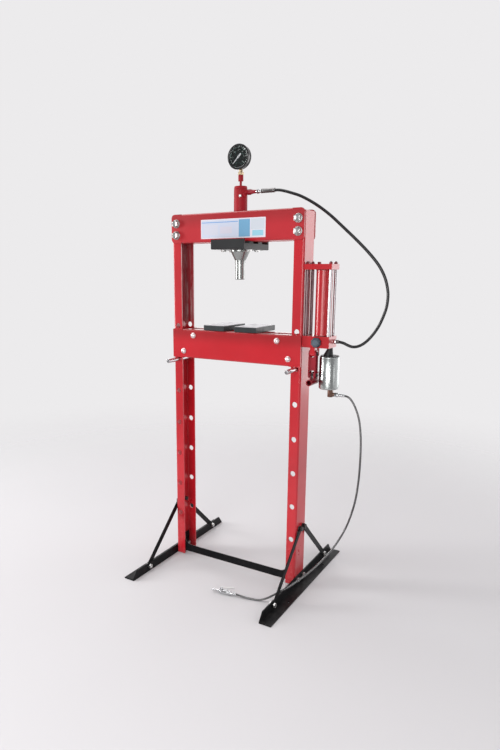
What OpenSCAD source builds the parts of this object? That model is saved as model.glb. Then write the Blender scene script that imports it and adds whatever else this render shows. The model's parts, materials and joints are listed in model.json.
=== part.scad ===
// Twenty-tonne floor press with a hand and air driven oil pump.
// Millimetres, +Z up, +X to the right, the operator stands at -Y.
// The origin is on the floor, midway between the posts and on their centre line.

/* [Frame] */
// Width over the two posts
frame_w = 594; // [500:1:720]
// Height of the posts and of the upper beams' top edge
frame_h = 1506; // [1300:1:1800]
// How far the posts end below the upper edges of the beams
post_drop = 8; // [0:1:16]
// Front to back depth of a post
post_d = 94; // [80:1:120]
// Width of a post's flanges
post_flange = 42; // [36:1:60]
// Wall of the posts
post_wall = 5; // [4:0.5:8]
// Inside bend radius of every channel
bend_in = 2.5; // [1:0.5:3.5]
// Clear height under the posts
post_lift = 4; // [0:1:10]
// Height of the lowest pin hole
hole_low = 203.5; // [180:0.5:240]
// Spacing of the pin holes
hole_pitch = 141.5; // [110:0.5:145]
// Bore of the pin holes
hole_d = 22; // [20:0.5:26]
// Pin hole centre, measured in from a post's outer face
hole_edge = 22; // [20:0.5:24]
// Pin holes in each flange
hole_count = 7; // [7:1:8]

/* [Upper beams] */
// Height of the upper beams
beam_h = 114; // [90:1:140]
// Width of the beams' flanges, web included
beam_flange = 34; // [30:1:38]
// Wall of the upper beams and table beams
beam_wall = 6; // [4.5:0.5:8]
// Corner radius at the beams' ends
beam_corner = 16; // [4:1:20]
// Beam bolts, thread size
beam_bolt_d = 18; // [14:1:18]
// Depth of the upper bolt row below the beams' top edge
beam_bolt_drop = 37; // [34:1:42]
// Spacing of the two bolt rows
beam_bolt_rows = 46; // [38:1:50]

/* [Head] */
// Width of the head saddle
saddle_w = 148; // [130:1:180]
// Depth of the head saddle, over its lips
saddle_d = 206; // [160:1:240]
// Thickness of the saddle's plate
saddle_t = 22; // [16:1:30]
// Height of the saddle's lips from its underside
saddle_lip_h = 38; // [30:1:44]
// Thickness of the saddle's lips
saddle_lip_t = 7; // [5:0.5:10]
// Height of the packing bars between saddle and beams
packing_h = 8; // [6:1:20]
// Outside diameter of the cylinder
cyl_od = 53; // [50:0.5:60]
// Bore of the cylinder
cyl_bore = 44; // [40:0.5:46]
// Diameter of the threaded spigot below the cylinder's shoulder
spigot_d = 50; // [48:0.5:52]
// Height that the cylinder stands above the saddle's plate
cyl_h = 208; // [190:1:300]
// Height of the ring nut under the saddle
ring_nut_h = 40; // [25:1:45]
// Rim diameter of the ring nut
ring_nut_d = 77; // [66:1:90]
// Diameter of the ram
ram_d = 39; // [35:0.5:40]
// How far the retracted ram stands out below the ring nut
ram_out = 76; // [40:1:100]
// Travel of the ram
ram_stroke = 150; // [80:5:150]

/* [Gauge] */
// Diameter of the gauge's bezel
gauge_d = 95; // [80:1:120]
// Depth of the gauge, front to back
gauge_depth = 32; // [26:1:42]
// Height of the gauge's centre above the cylinder's cap
gauge_rise = 106; // [100:1:140]

/* [Table] */
// Height of the table beams
table_h = 121; // [104:1:130]
// Which pin hole carries the table, counted from 0 at the bottom
table_hole = 5; // [1:1:5]
// Running gap between a table beam and the posts
table_slack = 1; // [0.6:0.1:2]
// Diameter of the table pins
pin_d = 18; // [16:0.5:19.5]
// How much longer a table pin is than the posts are deep
pin_extra = 112; // [106:1:160]
// How far the left pin stands out in front of its post
pin_out_left = 78; // [60:1:94]
// How far the right pin stands out in front of its post
pin_out_right = 83; // [60:1:94]
// Outside diameter of the table's spacer tubes
spacer_d = 18; // [16:1:20]
// Width of an arbor plate
plate_w = 100; // [80:1:120]
// Length of an arbor plate
plate_l = 163; // [130:1:180]
// Thickness of an arbor plate
plate_t = 22; // [16:1:28]

/* [Base] */
// Reach of a foot in front of the posts' centre line
foot_front = 365; // [300:1:420]
// Reach of a foot behind the posts' centre line
foot_back = 350; // [300:1:420]
// Width of a foot's flat leg
foot_w = 50; // [44:1:70]
// Height of a foot's upright leg
foot_h = 38; // [36:1:50]
// Thickness of the feet
foot_wall = 5; // [4:0.5:8]
// Height on the posts of the braces' upper bolts
brace_z = 246; // [225:1:300]
// Distance of the braces' upper bolts from the centre line
brace_top_y = 17; // [13:1:30]
// Distance of the braces' lower bolts from the centre line
brace_y = 256; // [200:1:300]
// Width of the brace bars
brace_w = 22; // [22:1:26]
// Thickness of the brace bars
brace_t = 4; // [3:0.5:6]
// Height of the tie bar's plain stretch
tie_h = 32; // [28:1:40]
// Spacing of the floor anchor holes, front to back
anchor_span = 360; // [300:1:420]

/* [Pump] */
// Height of the underside of the pump block above the floor
pump_z = 997; // [960:1:1020]
// How far the pump block reaches beyond the air motor's axis
motor_edge = 9; // [9:0.5:16]
// How far the pump block reaches in front of and behind the oil reservoir
reservoir_edge = 8; // [5:0.5:14]
// Height of the pump block
pump_block_h = 43; // [40:1:50]
// Free length of the oil reservoir between block and top plate
reservoir_h = 245; // [180:1:245]
// Outside diameter of the oil reservoir
reservoir_d = 61; // [50:1:64]
// Diameter of the tie rods
tie_rod_d = 12; // [10:0.5:13]
// Diameter of the release knob
knob_d = 38; // [30:1:42]
// Diameter of the air motor's can
can_d = 76; // [68:1:77]
// Height of the air motor's can
can_h = 125; // [110:1:150]
// Diameter of the hand pump's plunger
plunger_d = 14; // [12:0.5:16]

/* [Hoses] */
// Outside diameter of the oil hose
oil_hose_d = 11; // [9:0.5:13]
// Outside diameter of the air hose
air_hose_d = 8; // [6:0.5:9]

/* [Hidden] */
$fn = 48;

// Colours
RED = "#b81420";
BLACK = "#1c1d1f";
ZINC = "#c9ccd0";
CHROME = "#dfe2e6";
BRASS = "#c9a24c";
RUBBER = "#232426";

// Shared clearances: between a bolt and its hole, and between faces that must not meet
bolt_gap = 1;
thread_gap = 0.4;
run_gap = 0.3;

// Frame
half_w = frame_w / 2;
post_r = post_wall + bend_in;
beam_r = beam_wall + bend_in;
half_d = post_d / 2;
hole_x = half_w - hole_edge;
inner_half = half_w - post_flange;
web_in = half_w - post_wall;
flange_in = half_d - post_wall;

// Upper beams: their webs lie against the fronts and backs of the posts
beam_z = frame_h - beam_h;
beam_bolt_x = half_w - post_r - flats(beam_bolt_d) / sqrt(3) - 1.4;
beam_bolt_z = [frame_h - beam_bolt_drop, frame_h - beam_bolt_drop - beam_bolt_rows];
beam_len = 2 * (inner_half - 5);

// Head, from the beams down
saddle_top = beam_z - packing_h;
saddle_z = saddle_top - saddle_t;
nut_z = saddle_z - ring_nut_h;
spigot_z = nut_z + 16;
cyl_top = saddle_top + cyl_h;
cap_t = 11;
cap_top = cyl_top + cap_t;
cyl_notch_d = cyl_od + 4;
saddle_bolt_d = 12;
saddle_bolt_x = saddle_w / 2 - 16;
saddle_bolt_y = half_d + beam_wall - 20;
piston_h = 22;
piston_top = cyl_top - 22;
piston_z = piston_top - piston_h;
ram_z = nut_z - ram_out;
ram_bore = 22;
ram_nose = 54;
port_z = cyl_top - 12.5;
port_d = 20;
bush_h = 46;
wiper_h = 11;
wiper_d = ram_d + 4;

// Gauge
gauge_z = cap_top + gauge_rise;
gauge_front = -24;
bezel_t = 8;

// Table
hole_z = hole_low + table_hole * hole_pitch;
pin_len = post_d + pin_extra;
pin_z = hole_z - (hole_d - pin_d) / 2 + run_gap;
table_z = pin_z + pin_d / 2 + run_gap;
table_top = table_z + table_h;
table_in = half_d + table_slack;
table_out = table_in + beam_wall;
table_bolt_d = 12;
table_bolt_low = [inner_half - spacer_d / 2 - 2, table_z + 28.5];
table_bolt_high = [194.5, table_top - beam_r - spacer_d / 2 - 7.2];

// Base
foot_bolt_d = 12;
foot_bolt_y = 28;
foot_bolt_z = 22;
tie_z = 18;
tie_t = 4;
tie_rise = 80;
anchor_x = half_w + foot_w - 14;
anchor_d = 11;

// Pump: everything is placed from the block, which lies against the right post
pump_y = -5.5;
pump_x0 = half_w;
block_top = pump_z + pump_block_h;
plate_z = block_top + reservoir_h;
pump_plate_t = 20;
lever_x = pump_x0 + 45;
cheek_half = 9.5;
cheek_t = 4;
link_t = 5;
can_x = lever_x + cheek_half + 0.5 + link_t + 1 + can_d / 2;
pump_w = can_x - pump_x0 + motor_edge;
pump_d = reservoir_d + 2 * reservoir_edge;
rod_dx = 8.5;
rod_dy = pump_d / 2 - 13;
rod_x = [pump_x0 + rod_dx, pump_x0 + pump_w - rod_dx];
rod_y = [pump_y - rod_dy, pump_y + rod_dy];
reservoir_x = pump_x0 + 66.5;
knob_x = pump_x0 + 61;
knob_z = pump_z + 21.5;
block_front = pump_y - pump_d / 2;
oil_out = [pump_x0 + pump_w, 8, pump_z + 22];
pump_bolt_d = 10;
pump_bolt_y = [pump_y - 16, pump_y + 16];

// Hand lever, in the plane X = lever_x
link_y = pump_y - 30.5;
link_low_z = pump_z - 105;
link_high_z = pump_z - 22;
link_w = 24;
lever_pin_d = 10;
plunger_pin_d = 8;
barrel_od = plunger_d + 8;
spigot_fit_d = plunger_d + 6;
plunger_pin_z = link_low_z;
socket_z = link_low_z - 26;
socket_od = 24;
socket_bore = 18;
socket_front = -72;

// Air motor
can_top = pump_z - 33;
can_z = can_top - can_h;
can_wall = 2;
neck_d = 22;
gasket_t = 3;
inlet_x = can_x + 8;
inlet_z = can_z - 21;
elbow_x = inlet_x + 18;
barb_x = inlet_x + 58;

// Marks that the hoses keep to: where the oil hose leaves the cylinder, the top of the right post, where it
// reaches the pump block, where the air hose leaves the motor, and the right post's side at the floor
hose_marks = [[150, 0, port_z], [half_w, 0, frame_h], oil_out + [20, 0, 0],
  [barb_x, pump_y, inlet_z], [half_w, 0, 0]];
drawn_marks = [[150, 0, 1579.5], [297, 0, 1506], [425, 8, 1019], [462, -5.5, 818], [297, 0, 0]];

// A drawn hose carried to where its marks are now: its first point goes with mark a, point number mid with
// mark b, its last with mark c, and the points between them share the two moves
function carried(route, mid, a, b, c) = [
  for (i = [0 : len(route) - 1])
    let (
      last = len(route) - 1,
      near = i <= mid ? a : b,
      far = i <= mid ? b : c,
      share = i <= mid ? i / mid : (i - mid) / (last - mid),
      move = hose_marks[near] - drawn_marks[near],
      next = hose_marks[far] - drawn_marks[far]
    ) route[i] + move + share * (next - move)];

// Oil hose: from the crimped end at the cylinder, out over the right post, down to the block
oil_route = carried([
  [150, 0, 1579.5], [166, 0, 1578.5], [184, 0, 1575], [210, 0, 1567.5], [257, 0, 1551],
  [315, 0, 1520], [372, 0, 1480], [429, 0, 1431], [485, 0, 1381], [529, 0, 1338],
  [563, 1, 1298], [586, 1, 1258], [598, 2, 1218], [601, 2, 1184], [596, 3, 1145],
  [579, 4, 1097], [564, 5, 1069], [546, 6, 1044], [527, 7, 1024], [509, 7, 1011.5],
  [492, 8, 1005], [476, 8, 1004], [460, 8, 1008.5], [443, 8, 1015.5], [425, 8, 1019]], 5, 0, 1, 2);

// Air hose: from the motor's inlet down to the floor, over the right foot, to the hand valve
air_route = carried([
  [462, -5.5, 818], [474, -5.5, 815], [487, -6, 806], [503, -8, 784], [518, -11, 753],
  [529, -16, 718], [538, -23, 663], [543, -32, 590], [544, -42, 510], [540, -54, 436],
  [529, -66, 373], [511, -80, 312], [480, -99, 245], [436, -125, 179], [391, -151, 127],
  [346, -176, 84], [325, -187, 66], [301, -198, 49], [276, -208, 30], [251, -218, 14],
  [226, -227, 5], [200, -234, 4.2], [172, -240, 5.2], [150, -243.5, 8], [132, -246, 9.8]],
  15, 3, 4, 4);
valve_turn = 188;
valve_z = 9.8;

// ---- plain shapes ----------------------------------------------------------

// A cylinder along X that starts at x = 0
module along_x(d, h) { rotate([0, 90, 0]) cylinder(d = d, h = h); }

// A cylinder along Y that starts at y = 0
module along_y(d, h) { rotate([-90, 0, 0]) cylinder(d = d, h = h); }

// A six-sided bar along Z, given across its flats
module hex_bar(af, h) { cylinder(d = af / cos(30), h = h, $fn = 6); }

// A ring along Z
module ring(od, id, h) {
  difference() {
    cylinder(d = od, h = h);
    translate([0, 0, -1]) cylinder(d = id, h = h + 2);
  }
}

// A flat bar with round ends and a hole in each, from point a to point b of the plane
module strap_2d(a, b, w, hole) {
  run = b - a;
  length = norm(run);
  difference() {
    union() {
      translate(a) circle(d = w);
      translate(b) circle(d = w);
      translate(a) rotate(atan2(run[1], run[0])) translate([0, -w / 2]) square([length, w]);
    }
    translate(a) circle(d = hole);
    translate(b) circle(d = hole);
  }
}

// Turns a drawing of the Y-Z plane into a plate whose low face is at X = x
module plate_yz(x, t) {
  translate([x, 0, 0]) rotate([90, 0, 90]) linear_extrude(t) children();
}

// Turns a drawing of the X-Z plane into a plate that runs from y0 to y0 + t
module plate_xz(y0, t) {
  translate([0, y0 + t, 0]) rotate([90, 0, 0]) linear_extrude(t) children();
}

// A strip f wide and d high whose two left corners are round
module round_left(f, d, r) {
  translate([r, -d / 2]) square([f - r, d]);
  translate([0, r - d / 2]) square([r, d - 2 * r]);
  for (side = [-1, 1]) translate([r, side * (d / 2 - r)]) circle(r);
}

// Section of a pressed channel: web on the left, flanges towards +x
module channel_2d(d, f, wall) {
  difference() {
    round_left(f, d, wall + bend_in);
    translate([wall, 0]) round_left(f, d - 2 * wall, bend_in);
  }
}

// A plate with its four corners rounded, lower left corner at the origin
module round_plate_2d(w, h, r) {
  translate([r, 0]) square([w - 2 * r, h]);
  translate([0, r]) square([w, h - 2 * r]);
  for (x = [r, w - r], y = [r, h - r]) translate([x, y]) circle(r);
}

// ---- fasteners -------------------------------------------------------------

// Head across flats for a thread size
function flats(d) = d * 1.5;

// A hex bolt with its shank up +Z from z = 0 and its head below
module hex_bolt(d, length, head = 0.62) {
  translate([0, 0, -head * d]) hex_bar(flats(d), head * d);
  translate([0, 0, -0.5]) cylinder(d = d, h = length + 0.5);
}

// A nut that fills z = 0 to 0.8 d
module hex_nut(d) {
  difference() {
    hex_bar(flats(d), 0.8 * d);
    translate([0, 0, -1]) cylinder(d = d + thread_gap, h = d + 2);
  }
}

// A washer that fills z = 0 to t
module washer(d, od, t) { ring(od, d + bolt_gap, t); }

// ---- hoses and springs -----------------------------------------------------

// Points of a tube around a route, one ring of sides points to each route point
function unit(v) = v / norm(v);
function heading(p, i, first, last) = unit(
  i == 0 ? first
  : i == len(p) - 1 ? last
  : unit(p[i + 1] - p[i]) + unit(p[i] - p[i - 1]));
function frame_u(dir, hint) = unit(cross(dir, hint));
function tube_rings(p, r, sides, hint, first, last) = [
  for (i = [0 : len(p) - 1])
    let (dir = heading(p, i, first, last), u = frame_u(dir, hint), v = cross(dir, u))
      for (k = [0 : sides - 1])
        p[i] + r * (cos(360 * k / sides) * u + sin(360 * k / sides) * v)];
function tube_walls(n, sides) = [
  for (i = [0 : n - 2], k = [0 : sides - 1])
    [i * sides + k, i * sides + (k + 1) % sides,
     (i + 1) * sides + (k + 1) % sides, (i + 1) * sides + k]];
function tube_ends(n, sides) = [
  [for (k = [0 : sides - 1]) sides - 1 - k],
  [for (k = [0 : sides - 1]) (n - 1) * sides + k]];

// A tube of diameter d swept along the points p, its end faces square to first and last.
// hint is never parallel to the route.
module tube(p, d, sides, hint, first, last) {
  polyhedron(
    points = tube_rings(p, d / 2, sides, hint, first, last),
    faces = concat(tube_walls(len(p), sides), tube_ends(len(p), sides)),
    convexity = 10);
}

// A point on a smooth curve through the points p, t running from 0 to len(p) - 1
function spline(p, t) =
  let (
    i = min(floor(t), len(p) - 2),
    f = t - i,
    a = p[max(i - 1, 0)], b = p[i], c = p[i + 1], d = p[min(i + 2, len(p) - 1)])
  0.5 * (2 * b + (c - a) * f + (2 * a - 5 * b + 4 * c - d) * f * f
    + (3 * b - a - 3 * c + d) * f * f * f);
function smooth(p, steps) = [
  for (k = [0 : steps]) spline(p, k * (len(p) - 1) / steps)];

// An open coil of round wire between two heights, its axis on Z
module coil(radius, wire, z0, z1, turns, steps) {
  p = [for (k = [0 : turns * steps])
    let (a = 360 * k / steps)
      [radius * cos(a), radius * sin(a), z0 + (z1 - z0) * k / (turns * steps)]];
  n = len(p) - 1;
  tube(p, wire, 6, [0, 0, 1], p[1] - p[0], p[n] - p[n - 1]);
}

// ---- frame -----------------------------------------------------------------

// The left post with its holes; the right one is its mirror image
module post() {
  difference() {
    translate([-half_w, 0, post_lift])
      linear_extrude(frame_h - post_drop - post_lift)
        channel_2d(post_d, post_flange, post_wall);
    for (i = [0 : hole_count - 1])
      translate([-hole_x, -half_d - 1, hole_low + i * hole_pitch])
        along_y(hole_d, post_d + 2);
    for (z = beam_bolt_z)
      translate([-beam_bolt_x, -half_d - 1, z]) along_y(beam_bolt_d + bolt_gap, post_d + 2);
    for (side = [-1, 1], p = [[foot_bolt_y, foot_bolt_z], [brace_top_y, brace_z]])
      translate([-half_w - 1, side * p[0], p[1]])
        along_x(foot_bolt_d + bolt_gap, post_wall + 2);
  }
}

module left_post() { color(RED) post(); }

module right_post() {
  color(RED) difference() {
    mirror([1, 0, 0]) post();
    for (y = pump_bolt_y, z = [knob_z, plate_z + pump_plate_t / 2])
      translate([web_in - 1, y, z]) along_x(pump_bolt_d + bolt_gap, post_wall + 2);
  }
}

// A cross beam that faces -Y with its web from y_in out to -y_in - beam_wall.
// Its flanges stop short of the posts, and its web runs on over them.
module cross_beam(h, flange, y_in, z0, corner) {
  y_out = y_in + beam_wall;
  translate([-beam_len / 2, -y_out, z0 + h / 2]) rotate([90, 0, 90])
    linear_extrude(beam_len) channel_2d(h, flange, beam_wall);
  for (side = [-1, 1])
    plate_xz(-y_out, beam_wall) translate([0, z0]) intersection() {
      translate([-half_w, 0]) round_plate_2d(frame_w, h, corner);
      translate([side > 0 ? beam_len / 2 - 1 : -half_w, 0]) square([half_w - beam_len / 2 + 1, h]);
    }
}

module upper_beam() {
  difference() {
    cross_beam(beam_h, beam_flange, half_d, beam_z, beam_corner);
    for (side = [-1, 1], z = beam_bolt_z)
      translate([side * beam_bolt_x, -half_d - beam_wall - 1, z])
        along_y(beam_bolt_d + bolt_gap, beam_wall + 2);
    translate([0, 0, beam_z - 1]) cylinder(d = cyl_notch_d, h = beam_h + 2);
    for (side = [-1, 1])
      translate([side * saddle_bolt_x, -saddle_bolt_y, beam_z - 1])
        cylinder(d = saddle_bolt_d + bolt_gap, h = beam_wall + 2);
  }
}

module upper_beam_front() { color(RED) upper_beam(); }
module upper_beam_rear() { color(RED) mirror([0, 1, 0]) upper_beam(); }

// Bolts from outside, washers under their heads, nuts inside the posts
module beam_bolts() {
  washer_t = 3;
  reach = beam_wall + post_wall + washer_t;
  color(ZINC) for (back = [0, 1], side = [-1, 1], z = beam_bolt_z)
    mirror([0, back, 0])
      translate([side * beam_bolt_x, -half_d - beam_wall - washer_t, z]) rotate([-90, 0, 0]) {
        hex_bolt(beam_bolt_d, reach + beam_bolt_d);
        washer(beam_bolt_d, beam_bolt_d + 16, washer_t);
        translate([0, 0, reach]) hex_nut(beam_bolt_d);
      }
}

// ---- head ------------------------------------------------------------------

module saddle_holes(z0, h) {
  for (x = [-saddle_bolt_x, saddle_bolt_x], y = [-saddle_bolt_y, saddle_bolt_y])
    translate([x, y, z0 - 1]) cylinder(d = saddle_bolt_d + bolt_gap, h = h + 2);
}

// A thick plate with an upstanding lip at its front and back edges
module head_saddle() {
  edge_r = 6;
  color(BLACK) difference() {
    translate([-saddle_w / 2, 0, saddle_z]) rotate([90, 0, 90]) linear_extrude(saddle_w)
      difference() {
        union() {
          translate([-saddle_d / 2, edge_r]) square([saddle_d, saddle_lip_h - edge_r]);
          translate([edge_r - saddle_d / 2, 0]) square([saddle_d - 2 * edge_r, saddle_lip_h]);
          for (side = [-1, 1])
            translate([side * (saddle_d / 2 - edge_r), edge_r]) circle(edge_r);
          for (side = [-1, 1])
            translate([side > 0 ? saddle_d / 2 - saddle_lip_t : -saddle_d / 2, saddle_t])
              square([saddle_lip_t, saddle_lip_h - saddle_t]);
        }
        translate([saddle_lip_t - saddle_d / 2, saddle_t])
          square([saddle_d - 2 * saddle_lip_t, saddle_lip_h]);
      }
    translate([0, 0, saddle_z - 1]) cylinder(d = spigot_d + bolt_gap, h = saddle_t + 2);
    saddle_holes(saddle_z, saddle_t);
  }
}

// Bars that carry the beams' lower flanges on the saddle
module packing_bars() {
  bar_y = half_d + beam_wall - 1;
  bar_w = beam_flange - 2;
  color(BLACK) difference() {
    for (side = [-1, 1])
      translate([-saddle_w / 2 + 4, side > 0 ? bar_y - bar_w : -bar_y, saddle_top])
        cube([saddle_w - 8, bar_w, packing_h]);
    translate([0, 0, saddle_top - 1]) cylinder(d = cyl_notch_d, h = packing_h + 2);
    saddle_holes(saddle_top, packing_h);
  }
}

module saddle_bolts() {
  grip = saddle_t + packing_h + beam_wall;
  color(ZINC) for (x = [-saddle_bolt_x, saddle_bolt_x], y = [-saddle_bolt_y, saddle_bolt_y])
    translate([x, y, saddle_z]) {
      hex_bolt(saddle_bolt_d, grip + saddle_bolt_d);
      translate([0, 0, grip]) hex_nut(saddle_bolt_d);
    }
}

// The cylinder hangs by its shoulder on the saddle; its spigot takes the ring nut
module cylinder_tube() {
  color(RED) difference() {
    union() {
      translate([0, 0, saddle_top]) cylinder(d = cyl_od, h = cyl_h);
      translate([0, 0, spigot_z]) cylinder(d = spigot_d, h = saddle_top - spigot_z + 1);
      translate([0, 0, port_z]) along_x(port_d, cyl_od / 2 + 6);
    }
    translate([0, 0, spigot_z - 1]) cylinder(d = cyl_bore, h = cyl_top - spigot_z + 2);
    translate([0, 0, port_z]) along_x(10, cyl_od);
  }
}

module cylinder_cap() {
  color(RED) difference() {
    union() {
      translate([0, 0, cyl_top]) cylinder(d1 = cyl_od, d2 = cyl_od - 4, h = cap_t);
      translate([0, 0, cyl_top - 4]) cylinder(d = cyl_bore - thread_gap, h = 5);
    }
    translate([0, 0, cap_top - 6]) cylinder(d = 9 + thread_gap, h = 7);
    translate([0, 0, cyl_top - 5]) cylinder(d = 4, h = cap_t + 10);
  }
}

// Bronze bush that guides the ram in the foot of the cylinder
module guide_bush() {
  color(BRASS) translate([0, 0, spigot_z])
    ring(cyl_bore - thread_gap, ram_d + 0.6, bush_h);
}

// Tapered nut with four spanner slots in its rim, closed in round the ram below the spigot
module ring_nut() {
  rim_h = 8;
  rise = spigot_z - nut_z;
  color(CHROME) difference() {
    translate([0, 0, nut_z]) rotate_extrude() polygon([
      [spigot_d / 2 + 0.3, ring_nut_h], [ring_nut_d / 2, ring_nut_h],
      [ring_nut_d / 2, ring_nut_h - rim_h], [ram_d / 2 + 5, 4], [ram_d / 2 + 3.5, 0],
      [ram_d / 2 + 0.5, 0], [ram_d / 2 + 0.5, rise], [spigot_d / 2 + 0.3, rise]]);
    for (a = [45 : 90 : 315])
      rotate(a) translate([ring_nut_d / 2 - 5, -4, nut_z + ring_nut_h - rim_h - 1])
        cube([10, 8, rim_h + 2]);
  }
}

// Wiper held against the foot of the cylinder, round the ram
module wiper_ring() {
  color(CHROME) translate([0, 0, nut_z - wiper_h]) ring(wiper_d, ram_d + 0.6, wiper_h);
}

// Hollow ram, closed and chamfered at its nose
module ram() {
  edge = 1.5;
  color(CHROME) difference() {
    union() {
      translate([0, 0, ram_z + edge]) cylinder(d = ram_d, h = piston_z - ram_z - edge);
      translate([0, 0, ram_z]) cylinder(d1 = ram_d - 2 * edge, d2 = ram_d, h = edge);
    }
    translate([0, 0, ram_z + ram_nose]) cylinder(d = ram_bore, h = piston_z - ram_z);
  }
}

seal_h = 6;
seal_depth = 3;
module piston() {
  color(ZINC) translate([0, 0, piston_z]) difference() {
    cylinder(d = cyl_bore - 0.8, h = piston_h);
    translate([0, 0, -1]) cylinder(d = ram_bore, h = piston_h + 2);
    translate([0, 0, (piston_h - seal_h) / 2])
      ring(cyl_bore + 2, cyl_bore - 2 * seal_depth, seal_h);
  }
}

module piston_seal() {
  color(RUBBER) translate([0, 0, piston_z + (piston_h - seal_h) / 2])
    ring(cyl_bore - 0.6, cyl_bore - 2 * seal_depth + 0.3, seal_h);
}

// Tension spring inside the ram, hung from the cap
module return_spring() {
  wire = 2.4;
  color("gray")
    coil(ram_bore / 2 - wire / 2 - 0.6, wire, ram_z + ram_nose + wire / 2 + 0.3,
      cyl_top - 4 - wire / 2 - 0.3, 15, 9);
}

// ---- gauge -----------------------------------------------------------------

neck_h = 20;
adaptor_h = 23;
neck_z = gauge_z - gauge_d / 2 - neck_h + 3;
module gauge_adaptor() {
  color(RED) union() {
    translate([0, 0, neck_z - adaptor_h]) cylinder(d = 20, h = adaptor_h);
    translate([0, 0, cap_top - 6]) cylinder(d = 9, h = neck_z - adaptor_h - cap_top + 7);
  }
}

module gauge_neck() {
  color(BRASS) difference() {
    translate([0, 0, neck_z]) {
      hex_bar(19, 11);
      cylinder(d = 15, h = neck_h);
    }
    translate([0, gauge_front, gauge_z]) along_y(case_d + 0.2, gauge_depth + 1);
  }
}

// Drum of the gauge: a cup that opens to the front, with the spindle on its floor
case_d = gauge_d - 5;
dial_y = gauge_front + 5;
module gauge_case() {
  wall = 2;
  color(BLACK) union() {
    difference() {
      translate([0, gauge_front + 2, gauge_z]) along_y(case_d, gauge_depth - 2);
      translate([0, gauge_front, gauge_z]) along_y(case_d - 2 * wall, gauge_depth - wall);
    }
    translate([0, dial_y - 2.2, gauge_z]) along_y(3, gauge_depth - 4);
  }
}

module gauge_bezel() {
  color(CHROME) translate([0, gauge_front, gauge_z]) rotate([-90, 0, 0]) difference() {
    rotate_extrude() polygon([
      [case_d / 2 - 6, 0], [gauge_d / 2 - 2, 0], [gauge_d / 2, 2],
      [gauge_d / 2, bezel_t], [case_d / 2 + 0.2, bezel_t], [case_d / 2 + 0.2, 1.6],
      [case_d / 2 - 6, 1.6]]);
  }
}

module gauge_dial() {
  color("#20302c") translate([0, dial_y, gauge_z]) rotate([-90, 0, 0])
    ring(case_d - 4.4, 4, 1);
}

// The needle rests at zero, towards the lower left
needle_turn = 45;
module gauge_needle() {
  color("white") translate([0, dial_y - 1.9, gauge_z]) rotate([90, needle_turn, 0])
    difference() {
      union() {
        cylinder(d = 9, h = 0.8, center = true);
        linear_extrude(0.8, center = true)
          polygon([[-1.6, 0], [-0.6, -36], [0.6, -36], [1.6, 0], [2, 12], [-2, 12]]);
      }
      cylinder(d = 3.4, h = 4, center = true);
    }
}

module gauge_lens() {
  color("#dfe8ee", 0.3) translate([0, gauge_front + 1.6, gauge_z])
    along_y(case_d - 4.4, 0.8);
}

// ---- oil hose and its ends -------------------------------------------------

fitting_x = cyl_od / 2 + 6;
module port_fitting() {
  color(RED) difference() {
    translate([0, 0, port_z]) rotate([0, 90, 0]) {
      translate([0, 0, fitting_x]) hex_bar(19, 14);
      translate([0, 0, fitting_x + 13]) cylinder(d1 = 19, d2 = 13, h = 71 - fitting_x - 13);
    }
    translate([0, 0, port_z]) along_x(6, 100);
  }
}

// Hose ends: the oil hose's at the cylinder and at the pump block, and the air hose's
module hose_ends() {
  color(CHROME) difference() {
    union() {
      translate([71, 0, port_z]) along_x(15, 20);
      translate([91, 0, port_z]) along_x(17, 59);
      translate([oil_out[0], oil_out[1], oil_out[2]]) rotate([0, 90, 0]) hex_bar(15, 9);
      translate([oil_out[0] + 8, oil_out[1], oil_out[2]]) along_x(14, 12);
      translate([elbow_x, pump_y, inlet_z]) rotate([0, 90, 0]) hex_bar(15, 14);
      translate([elbow_x + 13, pump_y, inlet_z]) along_x(12, barb_x - elbow_x - 13);
    }
    translate([70, 0, port_z]) along_x(5, 90);
    translate([oil_out[0] - 1, oil_out[1], oil_out[2]]) along_x(5, 40);
    translate([elbow_x - 1, pump_y, inlet_z]) along_x(5, 60);
  }
}

module oil_hose() {
  color(RUBBER)
    tube(smooth(oil_route, 36), oil_hose_d, 10, [0, 1, 0], [1, 0, 0], [-1, 0, 0]);
}

// ---- table -----------------------------------------------------------------

table_bolt_at = [for (side = [-1, 1], p = [table_bolt_low, table_bolt_high])
  [side * p[0], p[1]]];

module table_beam() {
  difference() {
    cross_beam(table_h, beam_flange + 2, table_in, table_z, 4);
    for (p = table_bolt_at)
      translate([p[0], -table_out - 1, p[1]]) along_y(table_bolt_d + bolt_gap, beam_wall + 2);
  }
}

module table_beam_front() { color(RED) table_beam(); }
module table_beam_rear() { color(RED) mirror([0, 1, 0]) table_beam(); }

// Tubes that hold the two table beams apart, so that they slide on the posts
module table_spacers() {
  color(BLACK) for (p = table_bolt_at)
    translate([p[0], -table_in, p[1]]) rotate([-90, 0, 0])
      ring(spacer_d, table_bolt_d + bolt_gap, 2 * table_in);
}

// Round-headed bolts through both beams, with nuts behind
module table_bolts() {
  dome_d = 25;
  dome_h = 8;
  sphere_r = (dome_d * dome_d / 4 + dome_h * dome_h) / (2 * dome_h);
  color(ZINC) for (p = table_bolt_at)
    translate([p[0], -table_out, p[1]]) rotate([-90, 0, 0]) {
      intersection() {
        translate([0, 0, sphere_r - dome_h]) sphere(sphere_r);
        translate([0, 0, -dome_h - 1]) cylinder(d = dome_d + 2, h = dome_h + 1);
      }
      translate([0, 0, -0.5]) cylinder(d = table_bolt_d, h = 2 * table_out + 12.5);
      translate([0, 0, 2 * table_out]) hex_nut(table_bolt_d);
    }
}

// A plain pin with a bevel at each end
module table_pin(side, out) {
  bevel = 2;
  color(CHROME) translate([side * hole_x, -half_d - out, pin_z]) rotate([-90, 0, 0])
    rotate_extrude() polygon([
      [0, 0], [pin_d / 2 - bevel, 0], [pin_d / 2, bevel],
      [pin_d / 2, pin_len - bevel], [pin_d / 2 - bevel, pin_len], [0, pin_len]]);
}

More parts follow.
